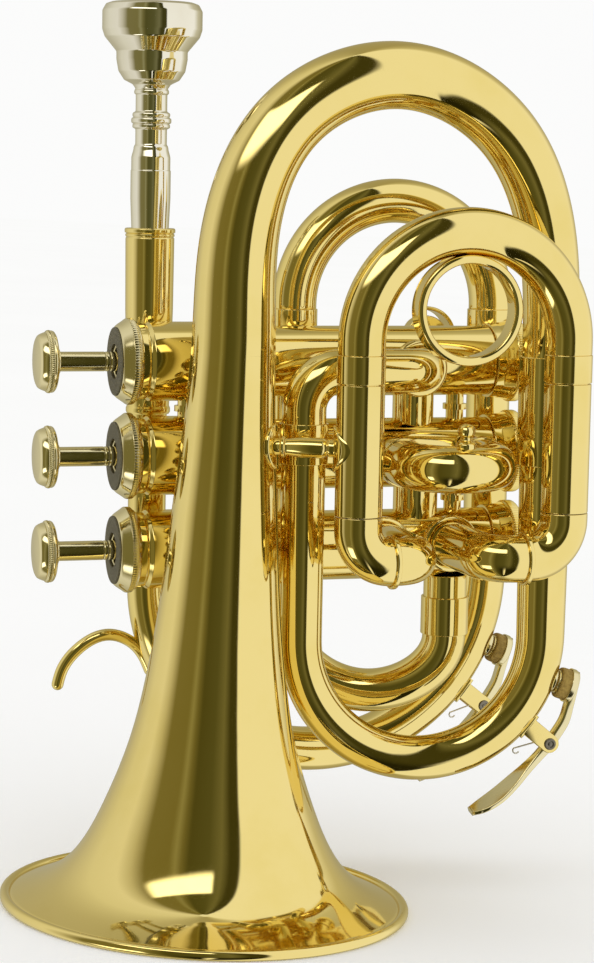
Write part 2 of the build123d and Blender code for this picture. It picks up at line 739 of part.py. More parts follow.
def water_key(prefix, centre, outward, bow_r, tube_r, nipple_angle, bar):
    """One water key, laid out round the bow that it drains."""
    surface = bow_r + tube_r
    middle, out = Vector(*centre), Vector(*outward).normalized()
    across = out.cross(Vector(0, 0, 1))

    def at(along, height):
        angle = math.radians(nipple_angle) - along / (surface + PIVOT_HEIGHT)
        reach = surface + height
        return middle + out * (reach * math.cos(angle)) + Vector(0, 0, 1) * (reach * math.sin(angle))

    def station(along, height, width, thick, twist):
        ahead = at(along + 0.5, height) - at(along - 0.5, height)
        plane = Plane(origin=at(along, height), x_dir=across, z_dir=ahead)
        return plane * Rot(0, 0, twist) * RectangleRounded(width, thick, thick * 0.3)

    nipple = rod(at(0, -0.8), at(0, NIPPLE_TOP), 3.2) - bar - rod(at(0, -2), at(0, 5), 1.6)
    cork = rod(at(0, NIPPLE_TOP + 0.02), at(0, CORK_TOP), CORK_R)
    add(f"{prefix}_key_cork", cork)

    cup = rod(at(0, CORK_TOP - 0.8), at(0, CORK_TOP + 1.2), CORK_R + 0.45)
    cup -= rod(at(0, CORK_TOP - 2), at(0, CORK_TOP + 0.02), CORK_R + 0.02)
    pivot = at(PIVOT_ALONG, PIVOT_HEIGHT)
    barrel = rod(pivot - across * LEVER_HALF, pivot + across * LEVER_HALF, 2.1)
    screw_hole = rod(pivot - across * 9, pivot + across * 9, 1.05)
    lever = loft([station(*stop) for stop in LEVER]) - cork
    add(f"{prefix}_key_lever", lever + cup + barrel - screw_hole)

    up = (at(PIVOT_ALONG, 1) - at(PIVOT_ALONG, 0)).normalized()
    foot = Plane(origin=at(PIVOT_ALONG, -1.5), x_dir=across, z_dir=up)
    standing = (Align.CENTER, Align.CENTER, Align.MIN)
    saddle = foot * Box(2 * LUG_INSIDE + 2.2, 9, 2.4, align=standing)
    for side in (-1, 1):
        inside = pivot + across * (side * LUG_INSIDE)
        outside = pivot + across * (side * (LUG_INSIDE + 1.1))
        lug = Box(1.1, 2 * LUG_R, PIVOT_HEIGHT + 1.5, align=standing)
        saddle += foot * Pos(side * (LUG_INSIDE + 0.55), 0, 0) * lug
        saddle += rod(inside, outside, LUG_R)
    saddle = saddle - bar - rod(pivot - across * 9, pivot + across * 9, 1.02)
    screw = rod(pivot - across * 3.6, pivot + across * 3.7, 1.0)
    screw += rod(pivot + across * 3.72, pivot + across * 4.1, 1.7)

    coil = sleeve(pivot + across * 2.05, pivot + across * 2.5, 1.95, 1.25)
    wire_end = at(PIVOT_ALONG + 9, 1.2) + across * 2.2
    wire = rod(pivot + across * 2.2 - up * 1.6, wire_end, 0.35)
    return nipple, saddle, screw, coil + wire


tail_out = (BELL_LEG_X - TAIL_X, -TAIL_Y, 0)
tail_mid = ((BELL_LEG_X + TAIL_X) / 2, TAIL_Y / 2, TAIL_CENTRE_Z)
tail_r = math.hypot(BELL_LEG_X - TAIL_X, TAIL_Y) / 2
front = water_key("front", tail_mid, tail_out, tail_r, 6.25, -18.7, tapered_bar(tail_path, TAIL_RADII))
back_mid = ((LEADPIPE_X + BACK_LEG_X) / 2, BACK_Y, LEADPIPE_BOW_Z)
back_r = (BACK_LEG_X - LEADPIPE_X) / 2
back_bar = tapered_bar(leadpipe_bow_path, LEADPIPE_BOW_RADII)
rear = water_key("rear", back_mid, (1, 0, 0), back_r, 6.4, -22.7, back_bar)
for index, name in enumerate(("key_nipples", "key_saddles", "key_screws", "key_springs")):
    add(name, front[index], rear[index])

# ----------------------------------------------------------- hook and braces

hook_path = Spline(
    (-4.4, BACK_Y, 54.5),
    (-9.0, BACK_Y, 63.0),
    (-17.5, BACK_Y, 66.6),
    (-25.6, BACK_Y, 63.0),
    (-30.4, BACK_Y, 57.0),
    (-32.0, BACK_Y, 51.2),
)
hook = solid_along(hook_path, 1.7) + Pos(hook_path @ 1) * Sphere(1.7)
add("finger_hook", hook - back_bar)

# The bell brace: a barrel-shaped bar between two feet that hug the tubes.


def filled_bell(thicker):
    """The bell's stem as a solid bar, in the body frame."""
    stem_outline = [(r + thicker, z) for r, z in BELL_OUTLINE if z > 40]
    return Rot(0, BODY_LEAN, 0) * turned(stem_outline + [(0, stem_outline[-1][1]), (0, stem_top_z)])


bell_bar = filled_bell(0)
third_low, third_high = (THIRD_LEFT_X, THIRD_Y, 105), (THIRD_LEFT_X, THIRD_Y, 143)
third_bar = rod(third_low, third_high, THIRD_R)
brace_from = Vector(BRACE_Z * math.tan(lean), 0, BRACE_Z)
brace_to = Vector(THIRD_LEFT_X, THIRD_Y, BRACE_Z)
span = (brace_to - brace_from).length
right_end = span - THIRD_R
brace = turned(
    [
        (0, 11.0),
        (2.3, 11.0),
        (2.3, 14.4),
        (2.9, 14.6),
        (2.9, 15.4),
        (2.3, 15.7),
        (2.35, 16.4),
        (2.75, (16.4 + right_end) / 2 - 3),
        (2.85, (16.4 + right_end) / 2),
        (2.75, (16.4 + right_end) / 2 + 3),
        (2.35, right_end - 2.6),
        (2.0, right_end - 2.2),
        (2.4, right_end - 1.7),
        (2.4, right_end + 2),
        (0, right_end + 2),
    ],
    origin=brace_from,
    axis=brace_to - brace_from,
)
reach = rod(brace_from, brace_to, BRACE_FOOT_R)
feet = (filled_bell(0.7) & reach) + (rod(third_low, third_high, THIRD_R + 0.7) & reach)
add("bell_brace", brace + feet - bell_bar - third_bar)

back_bars = [
    rod((LEADPIPE_X, BACK_Y, 90), (LEADPIPE_X, BACK_Y, 128), LEADPIPE_R),
    rod((LEADPIPE_X, BACK_Y, 130), (LEADPIPE_X, BACK_Y, 170), 6.9),
    rod((TUNING_X, BACK_Y, 80), (TUNING_X, BACK_Y, 150), BACK_TUBE_R),
    rod((TAIL_X, TAIL_Y, 80), (TAIL_X, TAIL_Y, 119), 6.15),
]
posts = [
    rod((0, VALVE_Y, VALVE_Z[2]), (LEADPIPE_X, BACK_Y, VALVE_Z[2]), 2.6) - casing_bars[2] - back_bars[0],
    rod((0, VALVE_Y, VALVE_Z[0]), (LEADPIPE_X, BACK_Y, VALVE_Z[0]), 2.6) - casing_bars[0] - back_bars[1],
    rod((TUNING_X, VALVE_Y, VALVE_Z[1]), (TUNING_X, BACK_Y, VALVE_Z[1]), 2.6) - casing_bars[1] - back_bars[2],
    rod((TAIL_X, VALVE_Y, VALVE_Z[2]), (TAIL_X, TAIL_Y, VALVE_Z[2]), 2.6) - casing_bars[2] - back_bars[3],
    rod((5.0, VALVE_Y, VALVE_Z[1]), (5.0, 5.0, VALVE_Z[1]), 2.6) - casing_bars[1] - bell_bar,
]
add("casing_braces", *posts, *spacers)

# -------------------------------------------------------------------- output

os.makedirs("parts", exist_ok=True)
turn_upright = Rot(0, -BODY_LEAN, 0)
for name, solids in nodes.items():
    placed = solids if name in upright else [turn_upright * solid for solid in solids]
    export_step(Compound(placed) if len(placed) > 1 else placed[0], f"parts/{name}.step")
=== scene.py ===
import json
import math

import bmesh
import bpy
from mathutils import Matrix, Vector


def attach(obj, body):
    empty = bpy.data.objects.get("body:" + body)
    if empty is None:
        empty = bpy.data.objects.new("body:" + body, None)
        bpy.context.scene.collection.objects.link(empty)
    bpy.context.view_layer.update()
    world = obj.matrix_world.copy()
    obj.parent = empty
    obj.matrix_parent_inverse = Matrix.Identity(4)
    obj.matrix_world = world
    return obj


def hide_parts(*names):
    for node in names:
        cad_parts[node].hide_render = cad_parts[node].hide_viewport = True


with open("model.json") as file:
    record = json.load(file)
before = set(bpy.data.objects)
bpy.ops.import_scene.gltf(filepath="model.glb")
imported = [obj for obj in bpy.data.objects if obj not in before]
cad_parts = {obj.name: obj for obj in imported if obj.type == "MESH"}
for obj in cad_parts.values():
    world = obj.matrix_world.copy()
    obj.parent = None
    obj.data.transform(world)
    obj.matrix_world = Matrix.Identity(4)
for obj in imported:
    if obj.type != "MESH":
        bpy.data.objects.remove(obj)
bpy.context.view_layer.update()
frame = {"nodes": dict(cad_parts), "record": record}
scene = bpy.context.scene

# Everything but the bell is laid out in the wrap's own frame, in millimetres.
# The wrap leans a little from the bell's axis, so place() and aim() turn it into
# the row frame.
MM = 0.001
LEAN = math.radians(2.2)
COS_LEAN, SIN_LEAN = math.cos(LEAN), math.sin(LEAN)


def aim(v):
    """A direction in the wrap's frame, turned into the row frame."""
    x, y, z = v
    return Vector((COS_LEAN * x - SIN_LEAN * z, y, SIN_LEAN * x + COS_LEAN * z))


def place(p):
    """A point of the wrap, in millimetres, as a point of the row frame in metres."""
    return aim(p) * MM


# ---------------------------------------------------------------- camera

VIEW_FROM = (-181.07, -685.58, 200.15)
VIEW_AT = (32.19, 27.0, 111.82)
VIEW_ROLL = math.radians(1.06)
LENS = 99.95

forward = (Vector(VIEW_AT) - Vector(VIEW_FROM)).normalized()
level_right = forward.cross(Vector((0, 0, 1))).normalized()
level_up = level_right.cross(forward)
right = level_right * math.cos(VIEW_ROLL) + level_up * math.sin(VIEW_ROLL)
up = level_up * math.cos(VIEW_ROLL) - level_right * math.sin(VIEW_ROLL)
camera_data = bpy.data.cameras.new("camera")
camera_data.lens = LENS
camera_data.sensor_width = 36.0
camera_data.clip_start = 0.01
camera_data.clip_end = 50.0
camera = bpy.data.objects.new("camera", camera_data)
axes = Matrix([aim(right), aim(up), -aim(forward)]).transposed()
camera.matrix_world = Matrix.Translation(place(VIEW_FROM)) @ axes.to_4x4()
scene.collection.objects.link(camera)
scene.camera = camera

# ------------------------------------------------------------- node helpers


class Nodes:
    """A node tree with short calls for the nodes that the materials use."""

    def __init__(self, tree):
        self.tree = tree
        tree.nodes.clear()

    def new(self, kind, **settings):
        node = self.tree.nodes.new(kind)
        for name, value in settings.items():
            setattr(node, name, value)
        return node

    def link(self, source, target):
        self.tree.links.new(source, target)

    def feed(self, socket, value):
        """Gives a socket a number, a colour or another node's output."""
        if isinstance(value, bpy.types.NodeSocket):
            self.link(value, socket)
        else:
            socket.default_value = value

    def math(self, operation, a, b=0.0, clamp=False):
        node = self.new("ShaderNodeMath", operation=operation, use_clamp=clamp)
        self.feed(node.inputs[0], a)
        self.feed(node.inputs[1], b)
        return node.outputs[0]

    def dot(self, a, b):
        node = self.new("ShaderNodeVectorMath", operation="DOT_PRODUCT")
        self.feed(node.inputs[0], a)
        self.feed(node.inputs[1], b)
        return node.outputs["Value"]

    def smooth(self, value, low, high, to_low=0.0, to_high=1.0):
        """A soft step from to_low to to_high as value goes from low to high."""
        node = self.new("ShaderNodeMapRange", interpolation_type="SMOOTHSTEP")
        for socket, number in zip(node.inputs, (value, low, high, to_low, to_high)):
            self.feed(socket, number)
        return node.outputs["Result"]

    def ramp(self, value, stops):
        node = self.new("ShaderNodeValToRGB")
        elements = node.color_ramp.elements
        while len(elements) < len(stops):
            elements.new(0.5)
        for element, (position, colour) in zip(elements, stops):
            element.position = position
            element.color = (*colour, 1.0)
        self.link(value, node.inputs["Fac"])
        return node.outputs["Color"]

    def mix(self, factor, a, b):
        node = self.new("ShaderNodeMix", data_type="RGBA")
        self.feed(node.inputs["Factor"], factor)
        self.feed(node.inputs[6], a)
        self.feed(node.inputs[7], b)
        return node.outputs[2]

    def noise(self, vector, scale, detail=3.0, roughness=0.5):
        node = self.new("ShaderNodeTexNoise")
        self.link(vector, node.inputs["Vector"])
        node.inputs["Scale"].default_value = scale
        node.inputs["Detail"].default_value = detail
        node.inputs["Roughness"].default_value = roughness
        return node.outputs["Fac"]

    def stretched(self, vector, scale):
        node = self.new("ShaderNodeMapping")
        self.link(vector, node.inputs["Vector"])
        node.inputs["Scale"].default_value = scale
        return node.outputs["Vector"]


# ------------------------------------------------------------------ studio

FLOOR_HALF = 12.0
PALE = (0.97, 0.97, 0.965, 1.0)
TENT_R = 0.42
TENT_HALF = 14.0
TENT_X = 0.05
LAMP = (2.4, 2.3, 2.05, 1.0)

# The tent's wall, from its back round by its left, front and right sides:
# degrees from the front, positive towards the right, and the light it gives.
WALL_LIGHT = [
    (-180, (0.42, 0.39, 0.27)),
    (-155, (0.55, 0.52, 0.40)),
    (-128, (0.78, 0.76, 0.66)),
    (-104, (0.84, 0.82, 0.75)),
    (-92, (0.60, 0.57, 0.46)),
    (-80, (0.21, 0.185, 0.07)),
    (-58, (0.20, 0.175, 0.06)),
    (-52, (0.29, 0.27, 0.13)),
    (-46, (0.17, 0.15, 0.05)),
    (-39, (0.085, 0.078, 0.02)),
    (-20, (0.10, 0.095, 0.03)),
    (-7, (0.17, 0.16, 0.07)),
    (2, (0.055, 0.05, 0.012)),
    (12, (0.055, 0.05, 0.012)),
    (14, (1.0, 0.985, 0.94)),
    (104, (1.0, 0.985, 0.94)),
    (124, (0.62, 0.58, 0.42)),
    (150, (0.42, 0.38, 0.24)),
    (180, (0.42, 0.39, 0.27)),
]

# Lamps on the wall: lowest and highest point in metres, left and right angle.
LAMPS = [
    (0.36, 0.68, -84, -12),
    (-0.36, -0.13, -84, -50),
    (-1.9, -0.15, -23, -12),
]


def studio_world():
    """Even light for the floor and the matt pieces, and a pale backdrop."""
    world = bpy.data.worlds.new("studio")
    scene.world = world
    world.use_nodes = True
    world.cycles.sampling_method = "NONE"
    n = Nodes(world.node_tree)
    background = n.new("ShaderNodeBackground")
    background.inputs["Color"].default_value = PALE
    output = n.new("ShaderNodeOutputWorld")
    n.link(background.outputs[0], output.inputs["Surface"])


def studio_tent():
    """A tall round light tent, seen only in reflections: pale walls, dim towards the front."""
    steps = 96
    points = []
    for z in (-TENT_HALF, TENT_HALF):
        for k in range(steps):
            a = 2 * math.pi * k / steps
            points.append((TENT_R * math.cos(a), TENT_R * math.sin(a), z))
    faces = [(k, (k + 1) % steps, steps + (k + 1) % steps, steps + k) for k in range(steps)]
    mesh = bpy.data.meshes.new("tent")
    mesh.from_pydata(points, [], faces)
    tent = bpy.data.objects.new("tent", mesh)
    tent.location.x = TENT_X
    scene.collection.objects.link(tent)
    tent.visible_camera = False
    tent.visible_diffuse = False
    tent.visible_shadow = False
    material = bpy.data.materials.new("tent_wall")
    material.use_nodes = True
    material.cycles.emission_sampling = "NONE"
    n = Nodes(material.node_tree)
    spot = n.new("ShaderNodeSeparateXYZ")
    n.link(n.new("ShaderNodeTexCoord").outputs["Object"], spot.inputs[0])
    x, y, z = spot.outputs
    angle = n.math("MULTIPLY", n.math("ARCTAN2", x, n.math("MULTIPLY", y, -1.0)), 180 / math.pi)
    turn = n.math("ADD", n.math("DIVIDE", angle, 360.0), 0.5)
    wall = n.ramp(turn, [(a / 360 + 0.5, c) for a, c in WALL_LIGHT])
    low_front = n.math(
        "MULTIPLY",
        n.smooth(z, -0.35, -0.03, 1.0, 0.0),
        n.math("MULTIPLY", n.smooth(angle, -44, -24), n.smooth(angle, 14.5, 16.5, 1.0, 0.0)),
    )
    light = n.mix(low_front, wall, (0.02, 0.018, 0.004, 1.0))
    for low, high, left, end in LAMPS:
        soft = (high - low) * 0.2
        across = n.math(
            "MULTIPLY", n.smooth(angle, left, left + 12), n.smooth(angle, end - 5, end, 1.0, 0.0)
        )
        upright = n.math(
            "MULTIPLY", n.smooth(z, low, low + soft), n.smooth(z, high - soft, high, 1.0, 0.0)
        )
        light = n.mix(n.math("MULTIPLY", across, upright), light, LAMP)
    glow = n.new("ShaderNodeEmission")
    n.link(light, glow.inputs["Color"])
    output = n.new("ShaderNodeOutputMaterial")
    n.link(glow.outputs[0], output.inputs["Surface"])
    mesh.materials.append(material)


def studio_floor():
    """A plain pale floor."""
    corners = [(-1, -1), (1, -1), (1, 1), (-1, 1)]
    mesh = bpy.data.meshes.new("floor")
    mesh.from_pydata([(x * FLOOR_HALF, y * FLOOR_HALF, 0) for x, y in corners], [], [(0, 1, 2, 3)])
    floor = bpy.data.objects.new("floor", mesh)
    scene.collection.objects.link(floor)
    floor.visible_glossy = False
    material = bpy.data.materials.new("floor_paper")
    material.use_nodes = True
    n = Nodes(material.node_tree)
    surface = n.new("ShaderNodeBsdfDiffuse")
    place_on = n.new("ShaderNodeTexCoord").outputs["Object"]
    tone = n.ramp(n.noise(place_on, 3.0), [(0.3, (0.985, 0.985, 0.98)), (0.7, (1.0, 1.0, 0.995))])
    n.link(tone, surface.inputs["Color"])
    output = n.new("ShaderNodeOutputMaterial")
    n.link(surface.outputs[0], output.inputs["Surface"])
    mesh.materials.append(material)


studio_world()
studio_tent()
studio_floor()
scene.view_settings.view_transform = "Standard"
scene.cycles.max_bounces = 16
scene.cycles.glossy_bounces = 10

# --------------------------------------------------------------- materials


def metal(name, colour, deep, roughness, smear, wave=0.0012, brushed=0.0):
    """Polished plate: colour, deeper tone in worn patches, faint smears and waviness."""
    material = bpy.data.materials.new(name)
    material.use_nodes = True
    n = Nodes(material.node_tree)
    surface = n.new("ShaderNodeBsdfPrincipled")
    surface.inputs["Metallic"].default_value = 1.0
    here = n.new("ShaderNodeTexCoord").outputs["Object"]
    patches = n.noise(here, 38.0, 4.0, 0.6)
    specks = n.noise(here, 900.0, 2.0, 0.7)
    tone = n.mix(n.smooth(patches, 0.42, 0.78), (*colour, 1.0), (*deep, 1.0))
    n.link(n.mix(n.smooth(specks, 0.72, 0.80, 0.0, 0.35), tone, (*deep, 1.0)), surface.inputs["Base Color"])
    smears = n.smooth(n.noise(here, 70.0, 5.0, 0.65), 0.45, 0.75, roughness, roughness + smear)
    scratches = n.noise(n.stretched(here, (1400.0, 1400.0, 30.0)), 1.0, 2.0, 0.6)
    rough = n.math("ADD", smears, n.smooth(scratches, 0.62, 0.72, 0.0, brushed))
    n.link(rough, surface.inputs["Roughness"])
    bump = n.new("ShaderNodeBump")
    bump.inputs["Strength"].default_value = wave * 100
    bump.inputs["Distance"].default_value = 0.0004
    n.link(n.noise(here, 55.0, 2.0), bump.inputs["Height"])
    n.link(bump.outputs["Normal"], surface.inputs["Normal"])
    output = n.new("ShaderNodeOutputMaterial")
    n.link(surface.outputs[0], output.inputs["Surface"])
    return material


def plain_stuff(name, colour, dark, scale, roughness, bump_depth, sheen=0.0):
    """A matt, grainy material such as felt, cork or nylon."""
    material = bpy.data.materials.new(name)
    material.use_nodes = True
    n = Nodes(material.node_tree)
    surface = n.new("ShaderNodeBsdfPrincipled")
    here = n.new("ShaderNodeTexCoord").outputs["Object"]
    grain = n.noise(here, scale, 6.0, 0.7)
    n.link(
        n.mix(n.smooth(grain, 0.35, 0.68), (*dark, 1.0), (*colour, 1.0)),
        surface.inputs["Base Color"],
    )
    surface.inputs["Roughness"].default_value = roughness
    surface.inputs["Sheen Weight"].default_value = sheen
    bump = n.new("ShaderNodeBump")
    bump.inputs["Strength"].default_value = 0.6
    bump.inputs["Distance"].default_value = bump_depth
    n.link(grain, bump.inputs["Height"])
    n.link(bump.outputs["Normal"], surface.inputs["Normal"])
    output = n.new("ShaderNodeOutputMaterial")
    n.link(surface.outputs[0], output.inputs["Surface"])
    return material


MATERIALS = {
    "brass": metal("brass", (0.85, 0.70, 0.28), (0.82, 0.665, 0.235), 0.05, 0.03, brushed=0.04),
    "silver": metal("silver", (0.84, 0.81, 0.70), (0.78, 0.74, 0.62), 0.05, 0.04),
    "nickel": metal("nickel", (0.80, 0.72, 0.44), (0.72, 0.64, 0.37), 0.09, 0.06),
    "piston": metal("piston", (0.62, 0.61, 0.57), (0.55, 0.54, 0.50), 0.18, 0.08),
    "spring": metal("spring", (0.70, 0.68, 0.60), (0.60, 0.58, 0.50), 0.15, 0.08),
    "screw": metal("screw", (0.22, 0.20, 0.16), (0.14, 0.13, 0.10), 0.25, 0.10),
    "felt": plain_stuff("felt", (0.17, 0.15, 0.08), (0.08, 0.07, 0.038), 2600.0, 0.95, 0.0002, 0.05),
    "cork": plain_stuff("cork", (0.40, 0.27, 0.06), (0.26, 0.165, 0.03), 900.0, 0.85, 0.00015),
    "guide": plain_stuff("guide", (0.86, 0.85, 0.80), (0.80, 0.79, 0.74), 300.0, 0.45, 0.00003),
}
slot_of = {part["node"]: part["material_slot"] for part in frame["record"]["subparts"]}
for node_name, node in frame["nodes"].items():
    node.data.materials.clear()
    node.data.materials.append(MATERIALS[slot_of[node_name]])

# ------------------------------------------------------------------ routes


class Route:
    """A line through the wrap, with its length and a frame that doesn't twist."""

    def __init__(self, points):
        kept = [Vector(points[0])]
        for point in points[1:]:
            if (Vector(point) - kept[-1]).length > 1e-4:
                kept.append(Vector(point))
        self.points = kept
        self.reach = [0.0]
        for a, b in zip(kept, kept[1:]):
            self.reach.append(self.reach[-1] + (b - a).length)
        self.length = self.reach[-1]
        heads = [(b - a).normalized() for a, b in zip(kept, kept[1:])]
        middle = [(a + b).normalized() for a, b in zip(heads, heads[1:])]
        self.heads = [heads[0], *middle, heads[-1]]
        start = self.heads[0]
        guide = Vector((0, 0, 1)) if abs(start.z) < 0.9 else Vector((0, 1, 0))
        side = (guide - start * guide.dot(start)).normalized()
        self.sides = [side]
        for before, after in zip(self.heads, self.heads[1:]):
            side = before.rotation_difference(after) @ side
            side = (side - after * side.dot(after)).normalized()
            self.sides.append(side)

    def at(self, s):
        """The point, heading and side direction at a distance along the route."""
        if s <= 0:
            return self.points[0] + self.heads[0] * s, self.heads[0], self.sides[0]
        if s >= self.length:
            over = s - self.length
            return self.points[-1] + self.heads[-1] * over, self.heads[-1], self.sides[-1]
        low, high = 0, len(self.reach) - 1
        while high - low > 1:
            mid = (low + high) // 2
            if self.reach[mid] <= s:
                low = mid
            else:
                high = mid
        t = (s - self.reach[low]) / (self.reach[high] - self.reach[low])
        head = self.heads[low].lerp(self.heads[high], t).normalized()
        side = self.sides[low].lerp(self.sides[high], t)
        side = (side - head * side.dot(head)).normalized()
        return self.points[low].lerp(self.points[high], t), head, side


def straight(start, end):
    return Route([start, end])


def arc_points(start, middle_out, end, count=72):
    """A half circle from start to end that bulges along middle_out."""
    a, b, out = Vector(start), Vector(end), Vector(middle_out).normalized()
    centre, arm = (a + b) / 2, (a - b) / 2
    reach = arm.length
    steps = [math.pi * i / count for i in range(count + 1)]
    return [centre + arm * math.cos(t) + out * reach * math.sin(t) for t in steps]


def half_turn(start, end, out, lead=0.0, tail=0.0):
    """A U-shaped route: a straight run, a half circle and a straight run."""
    push = Vector(out).normalized()
    points = arc_points(start, out, end)
    if lead:
        points.insert(0, Vector(start) - push * lead)
    if tail:
        points.append(Vector(end) - push * tail)
    return Route(points)


def bent(corners, bends, count=20):
    """Straight runs joined by quarter bends."""
    pts = [Vector(p) for p in corners]
    points = [pts[0]]
    for before, corner, after, radius in zip(pts, pts[1:], pts[2:], bends):
        come, go = (corner - before).normalized(), (after - corner).normalized()
        centre = corner - come * radius + go * radius
        for i in range(count + 1):
            t = math.pi / 2 * i / count
            points.append(centre - go * (radius * math.cos(t)) + come * (radius * math.sin(t)))
    points.append(pts[-1])
    return Route(points)


def smooth_points(points, first_head=None, last_head=None, step=1.0):
    """Points along a smooth curve through the given ones (a clamped or free cubic)."""
    pts = [Vector(p) for p in points]
    count = len(pts)
    gaps = [(b - a).length for a, b in zip(pts, pts[1:])]
    lower, middle, upper, want = [0.0] * count, [1.0] * count, [0.0] * count, [None] * count
    for i in range(1, count - 1):
        lower[i] = 1 / gaps[i - 1]
        upper[i] = 1 / gaps[i]
        middle[i] = 2 * (lower[i] + upper[i])
        rise = (pts[i] - pts[i - 1]) / gaps[i - 1] ** 2 + (pts[i + 1] - pts[i]) / gaps[i] ** 2
        want[i] = rise * 3
    if first_head is None:
        middle[0], upper[0], want[0] = 2.0, 1.0, (pts[1] - pts[0]) * (3 / gaps[0])
    else:
        want[0] = Vector(first_head).normalized()
    if last_head is None:
        middle[-1], lower[-1], want[-1] = 2.0, 1.0, (pts[-1] - pts[-2]) * (3 / gaps[-1])
    else:
        want[-1] = Vector(last_head).normalized()
    for i in range(1, count):
        factor = lower[i] / middle[i - 1]
        middle[i] -= factor * upper[i - 1]
        want[i] = want[i] - want[i - 1] * factor
    slopes = [None] * count
    slopes[-1] = want[-1] / middle[-1]
    for i in range(count - 2, -1, -1):
        slopes[i] = (want[i] - slopes[i + 1] * upper[i]) / middle[i]
    line = []
    for i, gap in enumerate(gaps):
        pieces = max(4, int(gap / step))
        for k in range(pieces):
            t = k / pieces
            line.append(
                pts[i] * (2 * t**3 - 3 * t**2 + 1)
                + slopes[i] * (gap * (t**3 - 2 * t**2 + t))
                + pts[i + 1] * (3 * t**2 - 2 * t**3)
                + slopes[i + 1] * (gap * (t**3 - t**2))
            )
    line.append(pts[-1])
    return line


# ------------------------------------------------------------- mesh builder


def soften(outline, size, steps=3):
    """Rounds the corners of a closed outline; points on the axis stay sharp."""
    rounded = []
    count = len(outline)
    for i, (s, r) in enumerate(outline):
        here = Vector((s, r))
        to_last = Vector(outline[i - 1]) - here
        to_next = Vector(outline[(i + 1) % count]) - here
        bend = math.pi - to_last.angle(to_next, math.pi)
        if r < 1e-6 or bend < math.radians(9):
            rounded.append((s, r))
            continue
        cut = min(size, 0.4 * to_last.length, 0.4 * to_next.length)
        start = here + to_last.normalized() * cut
        end = here + to_next.normalized() * cut
        for k in range(steps + 1):
            t = k / steps
            p = start * (1 - t) ** 2 + here * (2 * t * (1 - t)) + end * t**2
            rounded.append((p.x, p.y))
    return rounded


